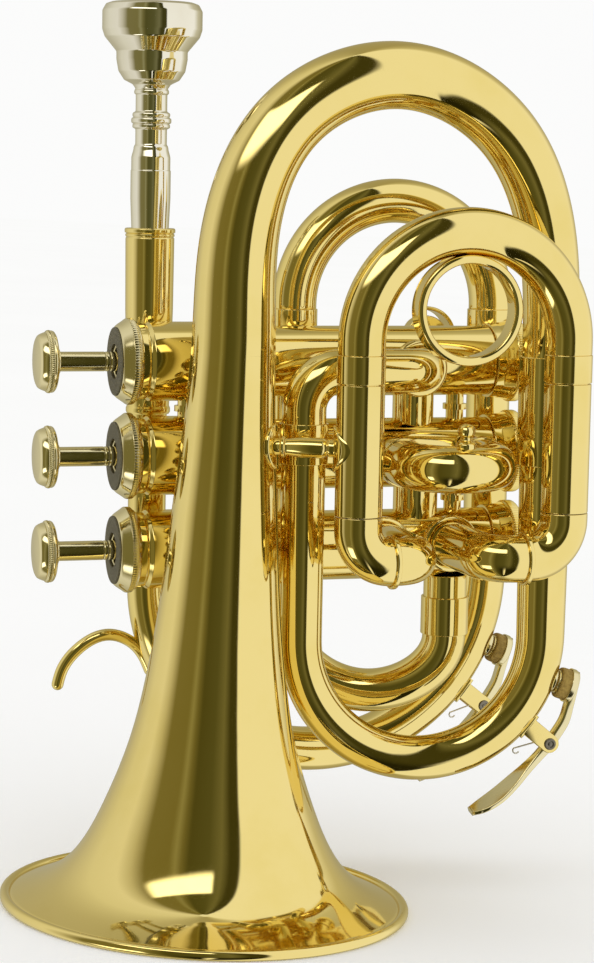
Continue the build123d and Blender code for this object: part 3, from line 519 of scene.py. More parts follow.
class Piece:
    """Collects the surfaces of one object, in the wrap's millimetres."""

    def __init__(self):
        self.points = []
        self.faces = []

    def loft(self, route, outline, sides=72, ridges=None, closed=True):
        """Sweeps a (distance, radius) outline round a route."""
        first = len(self.points)
        ring_starts = []
        for s, r in outline:
            centre, head, side = route.at(s)
            other = head.cross(side)
            if r < 1e-6:
                ring_starts.append((len(self.points), 1))
                self.points.append(centre)
                continue
            ring_starts.append((len(self.points), sides))
            for k in range(sides):
                a = 2 * math.pi * k / sides
                reach = r
                if ridges and ridges[0] <= s <= ridges[1] and r > ridges[4]:
                    reach -= ridges[3] * (0.5 + 0.5 * math.cos(a * ridges[2]))
                self.points.append(centre + side * (reach * math.cos(a)) + other * (reach * math.sin(a)))
        count = len(outline)
        for i in range(count if closed else count - 1):
            (a, na), (b, nb) = ring_starts[i], ring_starts[(i + 1) % count]
            if na == 1 and nb == 1:
                continue
            for k in range(sides):
                m = (k + 1) % sides
                if na == 1:
                    self.faces.append((a, b + m, b + k))
                elif nb == 1:
                    self.faces.append((a + k, a + m, b))
                else:
                    self.faces.append((a + k, a + m, b + m, b + k))
        return first

    def lathe(self, outline, origin=(0, 0, 0), axis=(0, 0, 1), sides=96, edge=0.25, ridges=None):
        """A turned piece: (radius, distance) points round an axis."""
        start = Vector(origin)
        route = straight(start, start + Vector(axis).normalized())
        swapped = [(s, r) for r, s in outline]
        self.loft(route, soften(swapped, edge) if edge else swapped, sides, ridges)

    def pipe(self, route, radii, wall=0.6, sides=72, step=1.2, edge=0.15, open_start=False):
        """A hollow tube along a route; radii is a number or (fraction, radius) stations."""
        if isinstance(radii, list):
            curve = smooth_points([(f * route.length, r, 0) for f, r in radii])
        else:
            curve = [Vector((0, radii, 0)), Vector((route.length, radii, 0))]

        def radius(s):
            for a, b in zip(curve, curve[1:]):
                if s <= b.x:
                    return a.y + (b.y - a.y) * max(0.0, (s - a.x) / (b.x - a.x))
            return curve[-1].y

        count = max(2, int(route.length / step))
        runs = [route.length * i / count for i in range(count + 1)]
        outer = [(s, radius(s)) for s in runs]
        inner = [(s, radius(s) - wall) for s in reversed(runs)]
        if not open_start:
            outer[0:1] = [(runs[0], outer[0][1] - edge), (runs[0] + edge, outer[0][1])]
        outer[-1:] = [(runs[-1] - edge, outer[-1][1]), (runs[-1], outer[-1][1] - edge)]
        self.loft(route, outer + inner, sides, closed=not open_start)

    def sleeve(self, a, b, outer, inner, sides=72, edge=0.2):
        """A straight ring or pipe between two points."""
        length = (Vector(b) - Vector(a)).length
        outline = [(0, inner), (0, outer), (length, outer), (length, inner)]
        self.loft(straight(a, b), soften(outline, edge), sides)

    def rod(self, a, b, radius, sides=48, edge=0.2):
        """A solid round bar between two points, with eased ends."""
        length = (Vector(b) - Vector(a)).length
        outline = [(0, 0), (0, radius), (length, radius), (length, 0)]
        self.loft(straight(a, b), soften(outline, edge), sides, closed=False)

    def bar(self, route, radius, sides=32):
        """A solid round wire along a route, with domed ends."""
        outline = [(0, 0)]
        for k in range(1, 6):
            a = math.pi / 2 * k / 6
            outline.append((radius * (1 - math.cos(a)), radius * math.sin(a)))
        count = max(2, int(route.length / 0.6))
        span = route.length - 2 * radius
        outline += [(radius + span * i / count, radius) for i in range(count + 1)]
        for k in range(5, 0, -1):
            a = math.pi / 2 * k / 6
            outline.append((route.length - radius * (1 - math.cos(a)), radius * math.sin(a)))
        outline.append((route.length, 0))
        self.loft(route, outline, sides, closed=False)

    def build(self, name, body, slot, replaced=(), upright=False, flat=False):
        """Makes the object, rides it on its body and hides the parts that it stands in for."""
        mesh = bpy.data.meshes.new(name)
        where = (lambda p: Vector(p) * MM) if upright else place
        mesh.from_pydata([where(p) for p in self.points], [], self.faces)
        shape = bmesh.new()
        shape.from_mesh(mesh)
        bmesh.ops.remove_doubles(shape, verts=shape.verts, dist=1e-7)
        bmesh.ops.recalc_face_normals(shape, faces=shape.faces)
        for face in shape.faces:
            face.smooth = not flat
        shape.to_mesh(mesh)
        shape.free()
        mesh.materials.append(MATERIALS[slot])
        thing = bpy.data.objects.new(name, mesh)
        scene.collection.objects.link(thing)
        if not flat:
            normals = thing.modifiers.new("even_normals", "WEIGHTED_NORMAL")
            normals.mode = "FACE_AREA_WITH_ANGLE"
            normals.weight = 70
        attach(thing, body)
        if replaced:
            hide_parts(*replaced)
        return thing


# -------------------------------------------------------------- dimensions

WALL = 0.6
BELL_OUTLINE = [
    (11.3, 150), (12.3, 131), (14.1, 109), (16.4, 82), (19.1, 61),
    (22.4, 45), (28.4, 27.5), (33, 17.5), (40, 8.5), (53.2, 1.9),
]
RIM_R, BEAD_R = 55.5, 1.4
BELL_LEG_X = 95.8
TAIL = (27.9, 7.0)
VALVE_Y = 27.0
VALVE_Z = [145.7, 119.7, 93.7]
BACK_Y = 46.0
LEADPIPE_X = -6.4
BACK_LEG_X = 95.7
TUNING_X = 36.1
THIRD_Y = -16.0
THIRD_X = (36.5, 95.2)
SHORT_X = (56.6, 79.6)

# -------------------------------------------------------------------- bell


def bell():
    outer = smooth_points([(r, 0, z) for r, z in BELL_OUTLINE], step=1.2)
    outer = [(p.z, p.x) for p in outer]
    inner = []
    for i, (s, r) in enumerate(outer):
        before, after = outer[max(i - 1, 0)], outer[min(i + 1, len(outer) - 1)]
        along = Vector((after[0] - before[0], after[1] - before[1])).normalized()
        inner.append((s - along.y * WALL, r + along.x * WALL))
    body = Piece()
    route = straight((0, 0, 0), (0, 0, 1))
    body.loft(route, outer + inner[::-1], sides=256, closed=False)
    body.build("bell_shell", "horn", "brass", ["bell"], upright=True)
    rim = Piece()
    centre_r, centre_z = RIM_R - BEAD_R, BEAD_R - 0.1
    bead = []
    for k in range(28):
        a = 2 * math.pi * k / 28
        bead.append((max(0.0, centre_z + BEAD_R * math.sin(a)), centre_r + BEAD_R * math.cos(a)))
    rim.loft(route, bead, sides=256)
    rim.build("bell_rim_bead", "horn", "brass", ["bell_rim"], upright=True)


bell_axis = (math.sin(LEAN), 0, math.cos(LEAN))
lean_x = 180.0 * math.tan(LEAN)
mid_x = (lean_x + BELL_LEG_X) / 2
half_x = (BELL_LEG_X - lean_x) / 2 * math.sqrt(0.5)
top_z = 224.2
bell_bow_route = Route(
    smooth_points(
        [
            (150 * bell_axis[0], 0, 150 * bell_axis[2]),
            (lean_x, 0, 180.0),
            (mid_x - half_x, 0, 180.0 + (top_z - 180.0) * math.sqrt(0.5)),
            (mid_x, 0, top_z),
            (mid_x + half_x, 0, 170.0 + (top_z - 170.0) * math.sqrt(0.5)),
            (BELL_LEG_X, 0, 170.0),
            (BELL_LEG_X, 0, 134.0),
        ],
        bell_axis,
        (0, 0, -1),
    )
)
tail_route = half_turn((BELL_LEG_X, 0, 70.9), (*TAIL, 70.9), (0, 0, -1), lead=62.9, tail=53.9)
elbow_route = bent(
    [(*TAIL, 125.0), (*TAIL, 144.4), (63.6, 7.0, 144.4), (63.6, 17.2, 144.4)], (10.5, 7.0)
)


def bell_side():
    bow = Piece()
    bow.pipe(
        bell_bow_route,
        [(0, 11.3), (0.14, 10.5), (0.30, 9.6), (0.50, 8.9), (0.72, 8.2), (1, 7.4)],
        sides=128,
        open_start=True,
    )
    bow.build("bell_bow_tube", "horn", "brass", ["bell_bow"])
    tail = Piece()
    tail.pipe(tail_route, [(0, 7.3), (0.28, 6.7), (0.55, 6.1), (1, 6.1)], sides=96)
    tail.build("tail_bow_tube", "horn", "brass", ["tail_bow"])
    elbow = Piece()
    elbow.pipe(elbow_route, 6.05, sides=96, step=0.8)
    elbow.build("tail_elbow_tube", "horn", "brass", ["tail_elbow"])
    rings = Piece()
    rings.sleeve((BELL_LEG_X, 0, 118.7), (BELL_LEG_X, 0, 148.7), 8.0, 7.48)
    rings.sleeve((*TAIL, 119.3), (*TAIL, 130.3), 6.7, 6.12)
    rings.sleeve((77.0, VALVE_Y, 67.4), (77.0, VALVE_Y, 78.2), 6.8, 6.22)
    rings.build("ferrule_rings", "horn", "brass", ["ferrules"])


# ----------------------------------------------------- mouthpiece, leadpipe


def mouthpiece():
    top = 243.9
    outside = [
        (4.25, 159.6), (4.85, 159.6), (5.25, 181.6), (5.6, top - 54.0), (5.6, top - 46.4),
        (5.45, top - 46.2), (5.45, top - 42.6), (4.9, top - 40.6), (4.8, top - 39.7),
        (4.4, top - 39.1), (4.4, top - 34.9), (5.25, top - 34.5), (5.25, top - 33.7),
        (5.0, top - 33.5), (5.6, top - 33.1), (5.6, top - 32.0), (5.0, top - 31.6),
        (5.25, top - 31.3), (5.25, top - 30.5), (4.4, top - 30.0), (4.4, top - 25.4),
        (4.85, top - 25.1), (4.85, top - 24.3), (4.5, top - 23.8), (5.3, top - 22.6),
        (7.7, top - 21.4), (9.3, top - 19.0), (9.9, top - 15.7), (9.9, top - 13.6),
        (13.2, top - 9.6), (13.9, top - 7.5), (13.9, top - 2.4), (12.9, top - 0.6),
        (11.2, top),
    ]
    inside = [
        (8.7, top - 0.05), (7.9, top - 1.8), (6.9, top - 6.2), (4.6, top - 10.6),
        (1.9, top - 13.6), (1.85, top - 20.0),
    ]
    piece = Piece()
    piece.lathe(outside + inside, (LEADPIPE_X, BACK_Y, 0), sides=128, edge=0.3)
    piece.build("mouthpiece_turned", "mouthpiece", "silver", ["mouthpiece"])


def leadpipe():
    receiver = Piece()
    receiver.lathe(
        [
            (5.38, 129.6), (5.9, 129.6), (6.25, 130.2), (6.25, 131.2), (5.95, 131.9),
            (6.7, 158.7), (6.85, 178.8), (6.6, 179.1), (6.9, 179.4), (6.9, 179.9),
            (6.6, 180.1), (7.1, 180.4), (7.1, 181.3), (6.8, 181.6),
            (5.3, 181.6), (4.9, 159.6), (4.9, 158.2), (5.38, 158.2),
        ],
        (LEADPIPE_X, BACK_Y, 0),
        edge=0.15,
    )
    receiver.build("receiver_turned", "horn", "brass", ["mouthpiece_receiver"])
    pipe = Piece()
    pipe.sleeve((LEADPIPE_X, BACK_Y, 82.3), (LEADPIPE_X, BACK_Y, 158.0), 5.35, 4.75)
    pipe.build("leadpipe_tube", "horn", "brass", ["leadpipe"])
    bow = Piece()
    bow.pipe(leadpipe_bow_route, [(0, 5.35), (0.35, 6.2), (0.6, 6.4), (1, 6.3)], sides=96)
    bow.build("leadpipe_bow_tube", "horn", "brass", ["leadpipe_bow"])


leadpipe_bow_route = half_turn(
    (LEADPIPE_X, BACK_Y, 82.1), (BACK_LEG_X, BACK_Y, 82.1), (0, 0, -1), tail=14.0
)


def tuning_slide():
    sleeves = Piece()
    sleeves.sleeve((TUNING_X, BACK_Y, 67.2), (TUNING_X, BACK_Y, 152.9), 6.3, 5.7)
    sleeves.sleeve((BACK_LEG_X, BACK_Y, 96.3), (BACK_LEG_X, BACK_Y, 152.9), 6.3, 5.7)
    sleeves.build("tuning_sleeves", "horn", "brass", ["tuning_slide_sleeves"])
    route = half_turn(
        (TUNING_X, BACK_Y, 160.4), (BACK_LEG_X, BACK_Y, 160.4), (0, 0, 1), lead=1.2, tail=1.2
    )
    bow = Piece()
    bow.pipe(route, 6.3, sides=96)
    bow.build("tuning_bow_tube", "tuning_slide", "brass", ["tuning_slide_bow"])
    legs = Piece()
    for x in (TUNING_X, BACK_LEG_X):
        legs.sleeve((x, BACK_Y, 118.0), (x, BACK_Y, 159.2), 5.65, 5.15)
        legs.sleeve((x, BACK_Y, 153.2), (x, BACK_Y, 159.2), 6.65, 5.64)
    legs.build("tuning_leg_tubes", "tuning_slide", "brass", ["tuning_slide_legs"])
    entry = Piece()
    bend = smooth_points(
        [(TUNING_X, BACK_Y, 67.0), (56.55, 36.5, 49.7), (77.0, VALVE_Y, 67.0)],
        (0, 0, -1),
        (0, 0, 1),
        step=0.8,
    )
    entry.pipe(Route([*bend, (77.0, VALVE_Y, 84.5)]), 6.2, sides=96)
    entry.build("entry_bow_tube", "horn", "brass", ["entry_bow"])


# ------------------------------------------------------------------- slides


def third_slide():
    for x, port_x, turn in ((THIRD_X[0], 54.1, 9.0), (THIRD_X[1], 74.1, 10.5)):
        route = bent(
            [(x, THIRD_Y, 107.5), (x, THIRD_Y, 95.0), (port_x, THIRD_Y, 95.0), (port_x, 18.2, 95.0)],
            (turn, 7.2),
        )
        side = "left" if x < port_x else "right"
        knuckle = Piece()
        knuckle.pipe(route, 6.4, sides=96, step=0.7)
        knuckle.build(f"third_knuckle_{side}", "horn", "brass", [f"third_slide_knuckle_{side}"])
    sleeves, legs = Piece(), Piece()
    for x in THIRD_X:
        sleeves.sleeve((x, THIRD_Y, 107.7), (x, THIRD_Y, 142.6), 6.4, 5.8)
        legs.sleeve((x, THIRD_Y, 142.9), (x, THIRD_Y, 150.4), 6.5, 5.74)
        legs.sleeve((x, THIRD_Y, 111.0), (x, THIRD_Y, 150.4), 5.75, 5.25)
    sleeves.build("third_sleeves", "horn", "brass", ["third_slide_sleeves"])
    legs.build("third_leg_tubes", "third_slide", "brass", ["third_slide_legs"])
    bow = Piece()
    bow_from = (THIRD_X[0], THIRD_Y, 154.0)
    bow_to = (THIRD_X[1], THIRD_Y, 154.0)
    bow.pipe(half_turn(bow_from, bow_to, (0, 0, 1), lead=3.6, tail=3.6), 6.35, sides=96)
    bow.build("third_bow_tube", "third_slide", "brass", ["third_slide_bow"])
    middle_x = sum(THIRD_X) / 2
    ring = Piece()
    ring.lathe(
        [(12.4, -3.4), (14.8, -3.4), (14.8, 3.4), (12.4, 3.4)],
        (middle_x, THIRD_Y, 162.35),
        (0, 1, 0),
        sides=160,
        edge=0.95,
    )
    ring.build("finger_ring_band", "third_slide", "brass", ["third_slide_finger_ring"])
    rings = Piece()
    for x0 in (45.55, 83.2):
        rings.sleeve((x0, THIRD_Y, 95.0), (x0 + 1.3, THIRD_Y, 95.0), 7.3, 6.42, edge=0.5)
    rings.sleeve((63.6, 14.2, 144.4), (63.6, 16.6, 144.4), 8.0, 6.07, edge=0.6)
    for x in (54.1, 74.1):
        rings.sleeve((x, 14.2, 95.0), (x, 16.6, 95.0), 8.0, 6.42, edge=0.6)
    rings.build("port_ring_set", "horn", "brass", ["port_rings"])


def short_slide(prefix, z, sleeve_end, arc_y, toward):
    """A short valve slide, from the casing out to its bow."""
    ferrule = sleeve_end + toward * 0.3
    rim = ferrule + toward * 2.2
    sleeves, legs, bow = Piece(), Piece(), Piece()
    for x in SHORT_X:
        sleeves.sleeve((x, VALVE_Y + toward * 6, z), (x, sleeve_end, z), 6.45, 5.85)
        legs.sleeve((x, ferrule, z), (x, rim, z), 6.85, 5.79)
        legs.sleeve((x, VALVE_Y + toward * 11.2, z), (x, rim, z), 5.8, 5.3)
    run = abs(arc_y - rim)
    bow.pipe(
        half_turn((SHORT_X[0], arc_y, z), (SHORT_X[1], arc_y, z), (0, toward, 0), lead=run, tail=run),
        6.45,
        sides=96,
        step=0.6,
    )
    sleeves.build(f"{prefix}_sleeve_tubes", "horn", "brass", [f"{prefix}_slide_sleeves"])
    legs.build(f"{prefix}_leg_tubes", f"{prefix}_slide", "brass", [f"{prefix}_slide_legs"])
    bow.build(f"{prefix}_bow_tube", f"{prefix}_slide", "brass", [f"{prefix}_slide_bow"])


def second_knob():
    knob = Piece()
    knob.lathe(
        [
            (0, 4.0), (2.9, 4.0), (2.9, 7.0), (2.2, 7.6), (1.4, 8.0), (1.4, 8.8),
            (2.2, 9.4), (2.5, 10.5), (2.1, 11.6), (1.2, 12.3), (0, 12.6),
        ],
        origin=(sum(SHORT_X) / 2, -11.5, 119.0),
        sides=64,
        edge=0.35,
    )
    knob.build("second_knob_turned", "second_slide", "brass", ["second_slide_knob"])


# ------------------------------------------------------------------- valves

KNURL = 96


def valve(number, z):
    origin, axis = (0, VALVE_Y, z), (1, 0, 0)
    casing = Piece()
    casing.lathe(
        [
            (8.6, -18.6), (10.0, -18.6), (10.0, -14.7), (10.4, -14.5), (10.4, -12.8),
            (10.2, -12.5), (10.2, -12.1), (10.9, -11.2), (10.9, 20.9), (9.8, 22.0),
            (9.8, 87.3), (9.3, 87.5), (9.3, 93.0), (8.6, 93.0),
        ],
        origin,
        axis,
        sides=128,
        edge=0.15,
    )
    casing.build(f"casing_{number}", "horn", "brass", [f"valve_{number}_casing"])
    stem = Piece()
    stem.lathe(
        [
            (0, -39.4), (2.7, -39.4), (2.7, -23.4), (2.5, -23.2), (2.7, -23.0),
            (2.7, -22.0), (2.5, -21.8), (2.7, -21.6), (2.7, -13.5), (0, -13.5),
        ],
        origin,
        axis,
        sides=64,
        edge=0.1,
    )
    stem.build(f"stem_{number}", f"valve_{number}", "nickel", [f"valve_{number}_stem"])
    button = Piece()
    button.lathe(
        [
            (0, -42.6), (3.5, -42.4), (6.4, -42.0), (7.2, -41.6), (7.6, -40.9),
            (8.0, -39.9), (7.9, -39.7), (8.5, -39.3), (8.6, -38.6), (8.3, -38.4),
            (8.5, -38.1), (8.3, -37.5), (7.6, -37.1), (3.6, -36.8), (3.6, -35.9),
            (2.72, -35.9), (2.72, -39.5), (0, -39.5),
        ],
        origin,
        axis,
        sides=KNURL * 4,
        edge=0.25,
        ridges=(-39.5, -38.5, KNURL, 0.25, 8.2),
    )
    button.build(f"button_{number}", f"valve_{number}", "nickel", [f"valve_{number}_button"])


def caps():
    tops, bottoms = Piece(), Piece()
    for z in VALVE_Z:
        origin, axis = (0, VALVE_Y, z), (1, 0, 0)
        tops.lathe(
            [
                (3.6, -20.1), (9.7, -20.1), (10.3, -19.4), (11.3, -17.9), (11.75, -17.3),
                (11.85, -17.1), (11.85, -15.7), (11.2, -15.2), (11.1, -14.8), (10.1, -14.8),
                (10.1, -18.7), (3.6, -18.7),
            ],
            origin,
            axis,
            sides=KNURL * 4,
            edge=0.3,
            ridges=(-17.2, -15.6, KNURL, 0.3, 11.5),
        )
        bottoms.lathe(
            [
                (1.5, 97.6), (4.0, 98.3), (9.6, 97.6), (11.3, 97.0), (11.75, 96.4),
                (11.75, 94.0), (11.2, 93.6), (10.5, 90.0), (10.5, 87.6), (9.38, 87.6),
                (9.38, 93.1), (8.8, 93.1), (8.8, 95.9), (1.5, 95.9),
            ],
            origin,
            axis,
            sides=KNURL * 4,
            edge=0.3,
            ridges=(93.9, 96.6, KNURL, 0.28, 11.4),
        )
    tops.build("top_cap_set", "horn", "nickel", ["top_caps"])
    bottoms.build("bottom_cap_set", "horn", "brass", ["bottom_caps"])
    felts = Piece()
    for z in VALVE_Z:
        origin, axis = (0, VALVE_Y, z), (1, 0, 0)
        felts.lathe(
            [(4.8, -20.6), (9.35, -20.6), (9.45, -20.12), (4.8, -20.12)], origin, axis, edge=0.12
        )
        felts.lathe([(3.4, -18.65), (8.3, -18.65), (8.3, -16.05), (3.4, -16.05)], origin, axis)
    felts.build("felt_set", "horn", "felt", ["valve_felts"])


# --------------------------------------------------------------- water keys

NIPPLE_TOP, CORK_R, CORK_TOP = 1.3, 4.4, 4.9
PIVOT = (17.3, 7.3)
LUG_INSIDE, LUG_THICK, LUG_R = 2.6, 1.1, 2.6
# Each station of the lever: distance along, height, width, thickness and twist in degrees.
LEVER = [
    (-4.6, 5.9, 2.4, 1.4, 0),
    (-3.0, 6.0, 4.8, 1.6, 0),
    (1.0, 6.3, 4.8, 1.9, 0),
    (5.0, 6.9, 3.8, 2.5, 0),
    (9.5, 7.9, 3.6, 2.8, 0),
    (14.0, 8.1, 3.6, 2.9, 0),
    (18.0, 8.3, 3.6, 2.8, 0),
    (22.0, 8.4, 3.8, 2.4, 0),
    (26.5, 8.7, 5.0, 2.0, -4),
    (31.5, 9.5, 7.2, 1.6, -8),
    (37.0, 10.7, 8.2, 1.4, -10),
    (42.0, 11.5, 7.4, 1.3, -8),
    (45.2, 11.8, 4.4, 1.2, -6),
]


def between(stations, s):
    """The values at s along smooth curves through stations that start with their distance."""
    k = 0
    while k < len(stations) - 2 and s > stations[k + 1][0]:
        k += 1
    a, b = stations[k], stations[k + 1]
    before, after = stations[max(k - 1, 0)], stations[min(k + 2, len(stations) - 1)]
    gap = b[0] - a[0]
    t = (s - a[0]) / gap
    values = []
    for i in range(1, len(a)):
        rise_a = (b[i] - before[i]) / (b[0] - before[0]) * gap
        rise_b = (after[i] - a[i]) / (after[0] - a[0]) * gap
        values.append(
            a[i] * (2 * t**3 - 3 * t**2 + 1)
            + rise_a * (t**3 - 2 * t**2 + t)
            + b[i] * (3 * t**2 - 2 * t**3)
            + rise_b * (t**3 - t**2)
        )
    return values


class KeyPlace:
    """Where a water key sits: distances along the bow and heights above it."""

    def __init__(self, centre, outward, bow_r, tube_r, nipple_degrees):
        self.centre = Vector(centre)
        self.out = Vector(outward).normalized()
        self.across = self.out.cross(Vector((0, 0, 1)))
        self.surface = bow_r + tube_r
        self.tube_r = tube_r
        self.start = math.radians(nipple_degrees)

    def at(self, along, height, side=0.0):
        angle = self.start - along / (self.surface + PIVOT[1])
        reach = self.surface + height
        flat = self.out * (reach * math.cos(angle)) + Vector((0, 0, reach * math.sin(angle)))
        return self.centre + flat + self.across * side

    def up(self, along):
        return (self.at(along, 1) - self.at(along, 0)).normalized()


def lever(key):
    """The lever: a cup over the cork, a deep arm, the pivot's barrel and a twisted finger plate."""
    piece = Piece()
    first, last = LEVER[0][0], LEVER[-1][0]
    rings = 64
    corner_steps = 5
    for i in range(rings + 1):
        along = first + (last - first) * i / rings
        height, width, thick, twist = between(LEVER, along)
        head = (key.at(along + 0.5, height) - key.at(along - 0.5, height)).normalized()
        turn = math.radians(twist)
        rise = head.cross(key.across)
        wide = key.across * math.cos(turn) + rise * math.sin(turn)
        deep = rise * math.cos(turn) - key.across * math.sin(turn)
        ease = thick * 0.3
        for cx, cy, begin in ((1, 1, 0), (-1, 1, 90), (-1, -1, 180), (1, -1, 270)):
            for k in range(corner_steps):
                a = math.radians(begin + 90 * k / (corner_steps - 1))
                u = cx * (width / 2 - ease) + ease * math.cos(a)
                v = cy * (thick / 2 - ease) + ease * math.sin(a)
                piece.points.append(key.at(along, height) + wide * u + deep * v)
    around = 4 * corner_steps
    for i in range(rings):
        for k in range(around):
            m = (k + 1) % around
            a, b = i * around, (i + 1) * around
            piece.faces.append((a + k, a + m, b + m, b + k))
    piece.faces.append(tuple(range(around - 1, -1, -1)))
    piece.faces.append(tuple(rings * around + k for k in range(around)))
    piece.lathe(
        [
            (4.43, CORK_TOP - 0.8), (4.85, CORK_TOP - 0.8), (4.85, CORK_TOP + 0.7),
            (4.3, CORK_TOP + 1.2), (0, CORK_TOP + 1.2), (0, CORK_TOP + 0.02), (4.43, CORK_TOP + 0.02),
        ],
        key.at(0, 0),
        key.up(0),
        sides=64,
        edge=0.2,
    )
    pivot = key.at(*PIVOT)
    piece.sleeve(pivot - key.across * 1.9, pivot + key.across * 1.9, 2.1, 1.05, sides=48)
    return piece


def cork(key):
    piece = Piece()
    low, high = NIPPLE_TOP + 0.02, CORK_TOP
    piece.lathe(
        [(0, low), (CORK_R - 0.2, low), (CORK_R, low + 0.8), (CORK_R, high), (0, high)],
        key.at(0, 0),
        key.up(0),
        sides=64,
        edge=0.35,
    )
    return piece


def add_nipple(piece, key):
    piece.lathe(
        [
            (1.6, -1.0), (3.6, -1.2), (3.7, -0.1), (3.2, 0.15), (3.0, 0.9),
            (3.3, 1.1), (3.1, NIPPLE_TOP), (1.6, NIPPLE_TOP),
        ],
        key.at(0, 0),
        key.up(0),
        sides=64,
        edge=0.15,
    )


def add_saddle(piece, key):
    """A foot that hugs the bow, with two lugs that carry the pivot."""
    half_along, half_across, thick = 4.5, LUG_INSIDE + LUG_THICK, 0.9
    base = len(piece.points)
    columns, rows = 12, 10
    for lift in (-0.1, thick):
        for i in range(rows + 1):
            along = PIVOT[0] + half_along * (2 * i / rows - 1)
            for j in range(columns + 1):
                side = half_across * (2 * j / columns - 1)
                drop = math.sqrt(key.tube_r**2 - side**2) - key.tube_r
                piece.points.append(key.at(along, drop + lift, side))
    width, layer = columns + 1, (columns + 1) * (rows + 1)
    for i in range(rows):
        for j in range(columns):
            a = base + i * width + j
            piece.faces.append((a, a + width, a + width + 1, a + 1))
            a += layer
            piece.faces.append((a, a + 1, a + width + 1, a + width))
    border = [j for j in range(columns)]
    border += [i * width + columns for i in range(rows)]
    border += [rows * width + j for j in range(columns, 0, -1)]
    border += [i * width for i in range(rows, 0, -1)]
    for a, b in zip(border, border[1:] + border[:1]):
        piece.faces.append((base + a, base + b, base + b + layer, base + a + layer))
    steps = 14
    for side in (-1, 1):
        outline = [(LUG_R, -1.2 - PIVOT[1])]
        outline += [
            (LUG_R * math.cos(math.pi * k / steps), LUG_R * math.sin(math.pi * k / steps))
            for k in range(steps + 1)
        ]
        outline += [(-LUG_R, -1.2 - PIVOT[1])]
        base, count = len(piece.points), len(outline)
        near, far = LUG_INSIDE, LUG_INSIDE + LUG_THICK
        for offset, inset in ((near, 0.15), (near + 0.15, 0), (far - 0.2, 0), (far, 0.2)):
            shrink = 1 - inset / LUG_R
            for along, rise in outline:
                place_at = key.at(PIVOT[0], PIVOT[1] + rise * shrink, side * offset)
                head = (key.at(PIVOT[0] + 0.5, 5) - key.at(PIVOT[0] - 0.5, 5)).normalized()
                piece.points.append(place_at + head * (along * shrink))
        for layer_at in range(3):
            a, b = base + layer_at * count, base + (layer_at + 1) * count
            for k in range(count):
                m = (k + 1) % count
                piece.faces.append((a + k, a + m, b + m, b + k))
        piece.faces.append(tuple(base + k for k in range(count - 1, -1, -1)))
        piece.faces.append(tuple(base + 3 * count + k for k in range(count)))


def add_screw(piece, key):
    # The head: a raised centre, a groove round it and a raised rim.
    head = [
        (0, 0.25),
        (0.5, 0.25),
        (0.5, 0.1),
        (0.9, 0.1),
        (0.9, 0.38),
        (1.5, 0.38),
        (1.7, 0.1),
        (1.7, 0),
        (0, 0),
    ]
    pivot = key.at(*PIVOT)
    piece.rod(pivot - key.across * 3.6, pivot + key.across * 3.7, 1.0, sides=32)
    head_at = pivot + key.across * 3.72
    piece.lathe(head, head_at, key.across, sides=40, edge=0.06)


def add_spring(piece, key):
    """One turn of wire beside the barrel, and a leg that rests on the bow with a curled end."""
    pivot = key.at(*PIVOT)
    up = key.up(PIVOT[0])
    head = (key.at(PIVOT[0] + 0.5, 5) - key.at(PIVOT[0] - 0.5, 5)).normalized()
    points = []
    turns, steps = 1.0, 40
    for k in range(steps + 1):
        a = 2 * math.pi * turns * k / steps
        offset = 2.1 + 0.25 * k / steps
        points.append(pivot + head * (1.6 * math.sin(a)) - up * (1.6 * math.cos(a)) + key.across * offset)
    end = key.at(PIVOT[0] + 8.6, 1.0, 2.2)
    last = points[-1]
    points += [last.lerp(end, t) for t in (0.34, 0.67)]
    for k in range(9):
        a = math.radians(200) * k / 8
        points.append(end + head * (0.9 * math.sin(a)) + up * (0.9 * (1 - math.cos(a))))
    piece.bar(Route(points), 0.22, sides=12)


def water_keys():
    tail_across = Vector((BELL_LEG_X - TAIL[0], -TAIL[1], 0))
    tail_middle = ((BELL_LEG_X + TAIL[0]) / 2, TAIL[1] / 2, 70.9)
    back_middle = ((LEADPIPE_X + BACK_LEG_X) / 2, BACK_Y, 82.1)
    keys = {
        "front": KeyPlace(tail_middle, tail_across, tail_across.length / 2, 6.25, -18.7),
        "rear": KeyPlace(back_middle, (1, 0, 0), (BACK_LEG_X - LEADPIPE_X) / 2, 6.4, -22.7),
    }
    nipples, saddles, screws, springs = Piece(), Piece(), Piece(), Piece()
    for side, key in keys.items():
        lever(key).build(f"{side}_lever", f"{side}_water_key", "nickel", [f"{side}_key_lever"])
        cork(key).build(f"{side}_cork", f"{side}_water_key", "cork", [f"{side}_key_cork"])
        add_nipple(nipples, key)
        add_saddle(saddles, key)
        add_screw(screws, key)
        add_spring(springs, key)
    nipples.build("nipple_set", "horn", "nickel", ["key_nipples"])
    saddles.build("saddle_set", "horn", "brass", ["key_saddles"])
    screws.build("key_screw_set", "horn", "screw", ["key_screws"])
    springs.build("key_spring_set", "horn", "spring", ["key_springs"])


# ------------------------------------------------------------------- braces


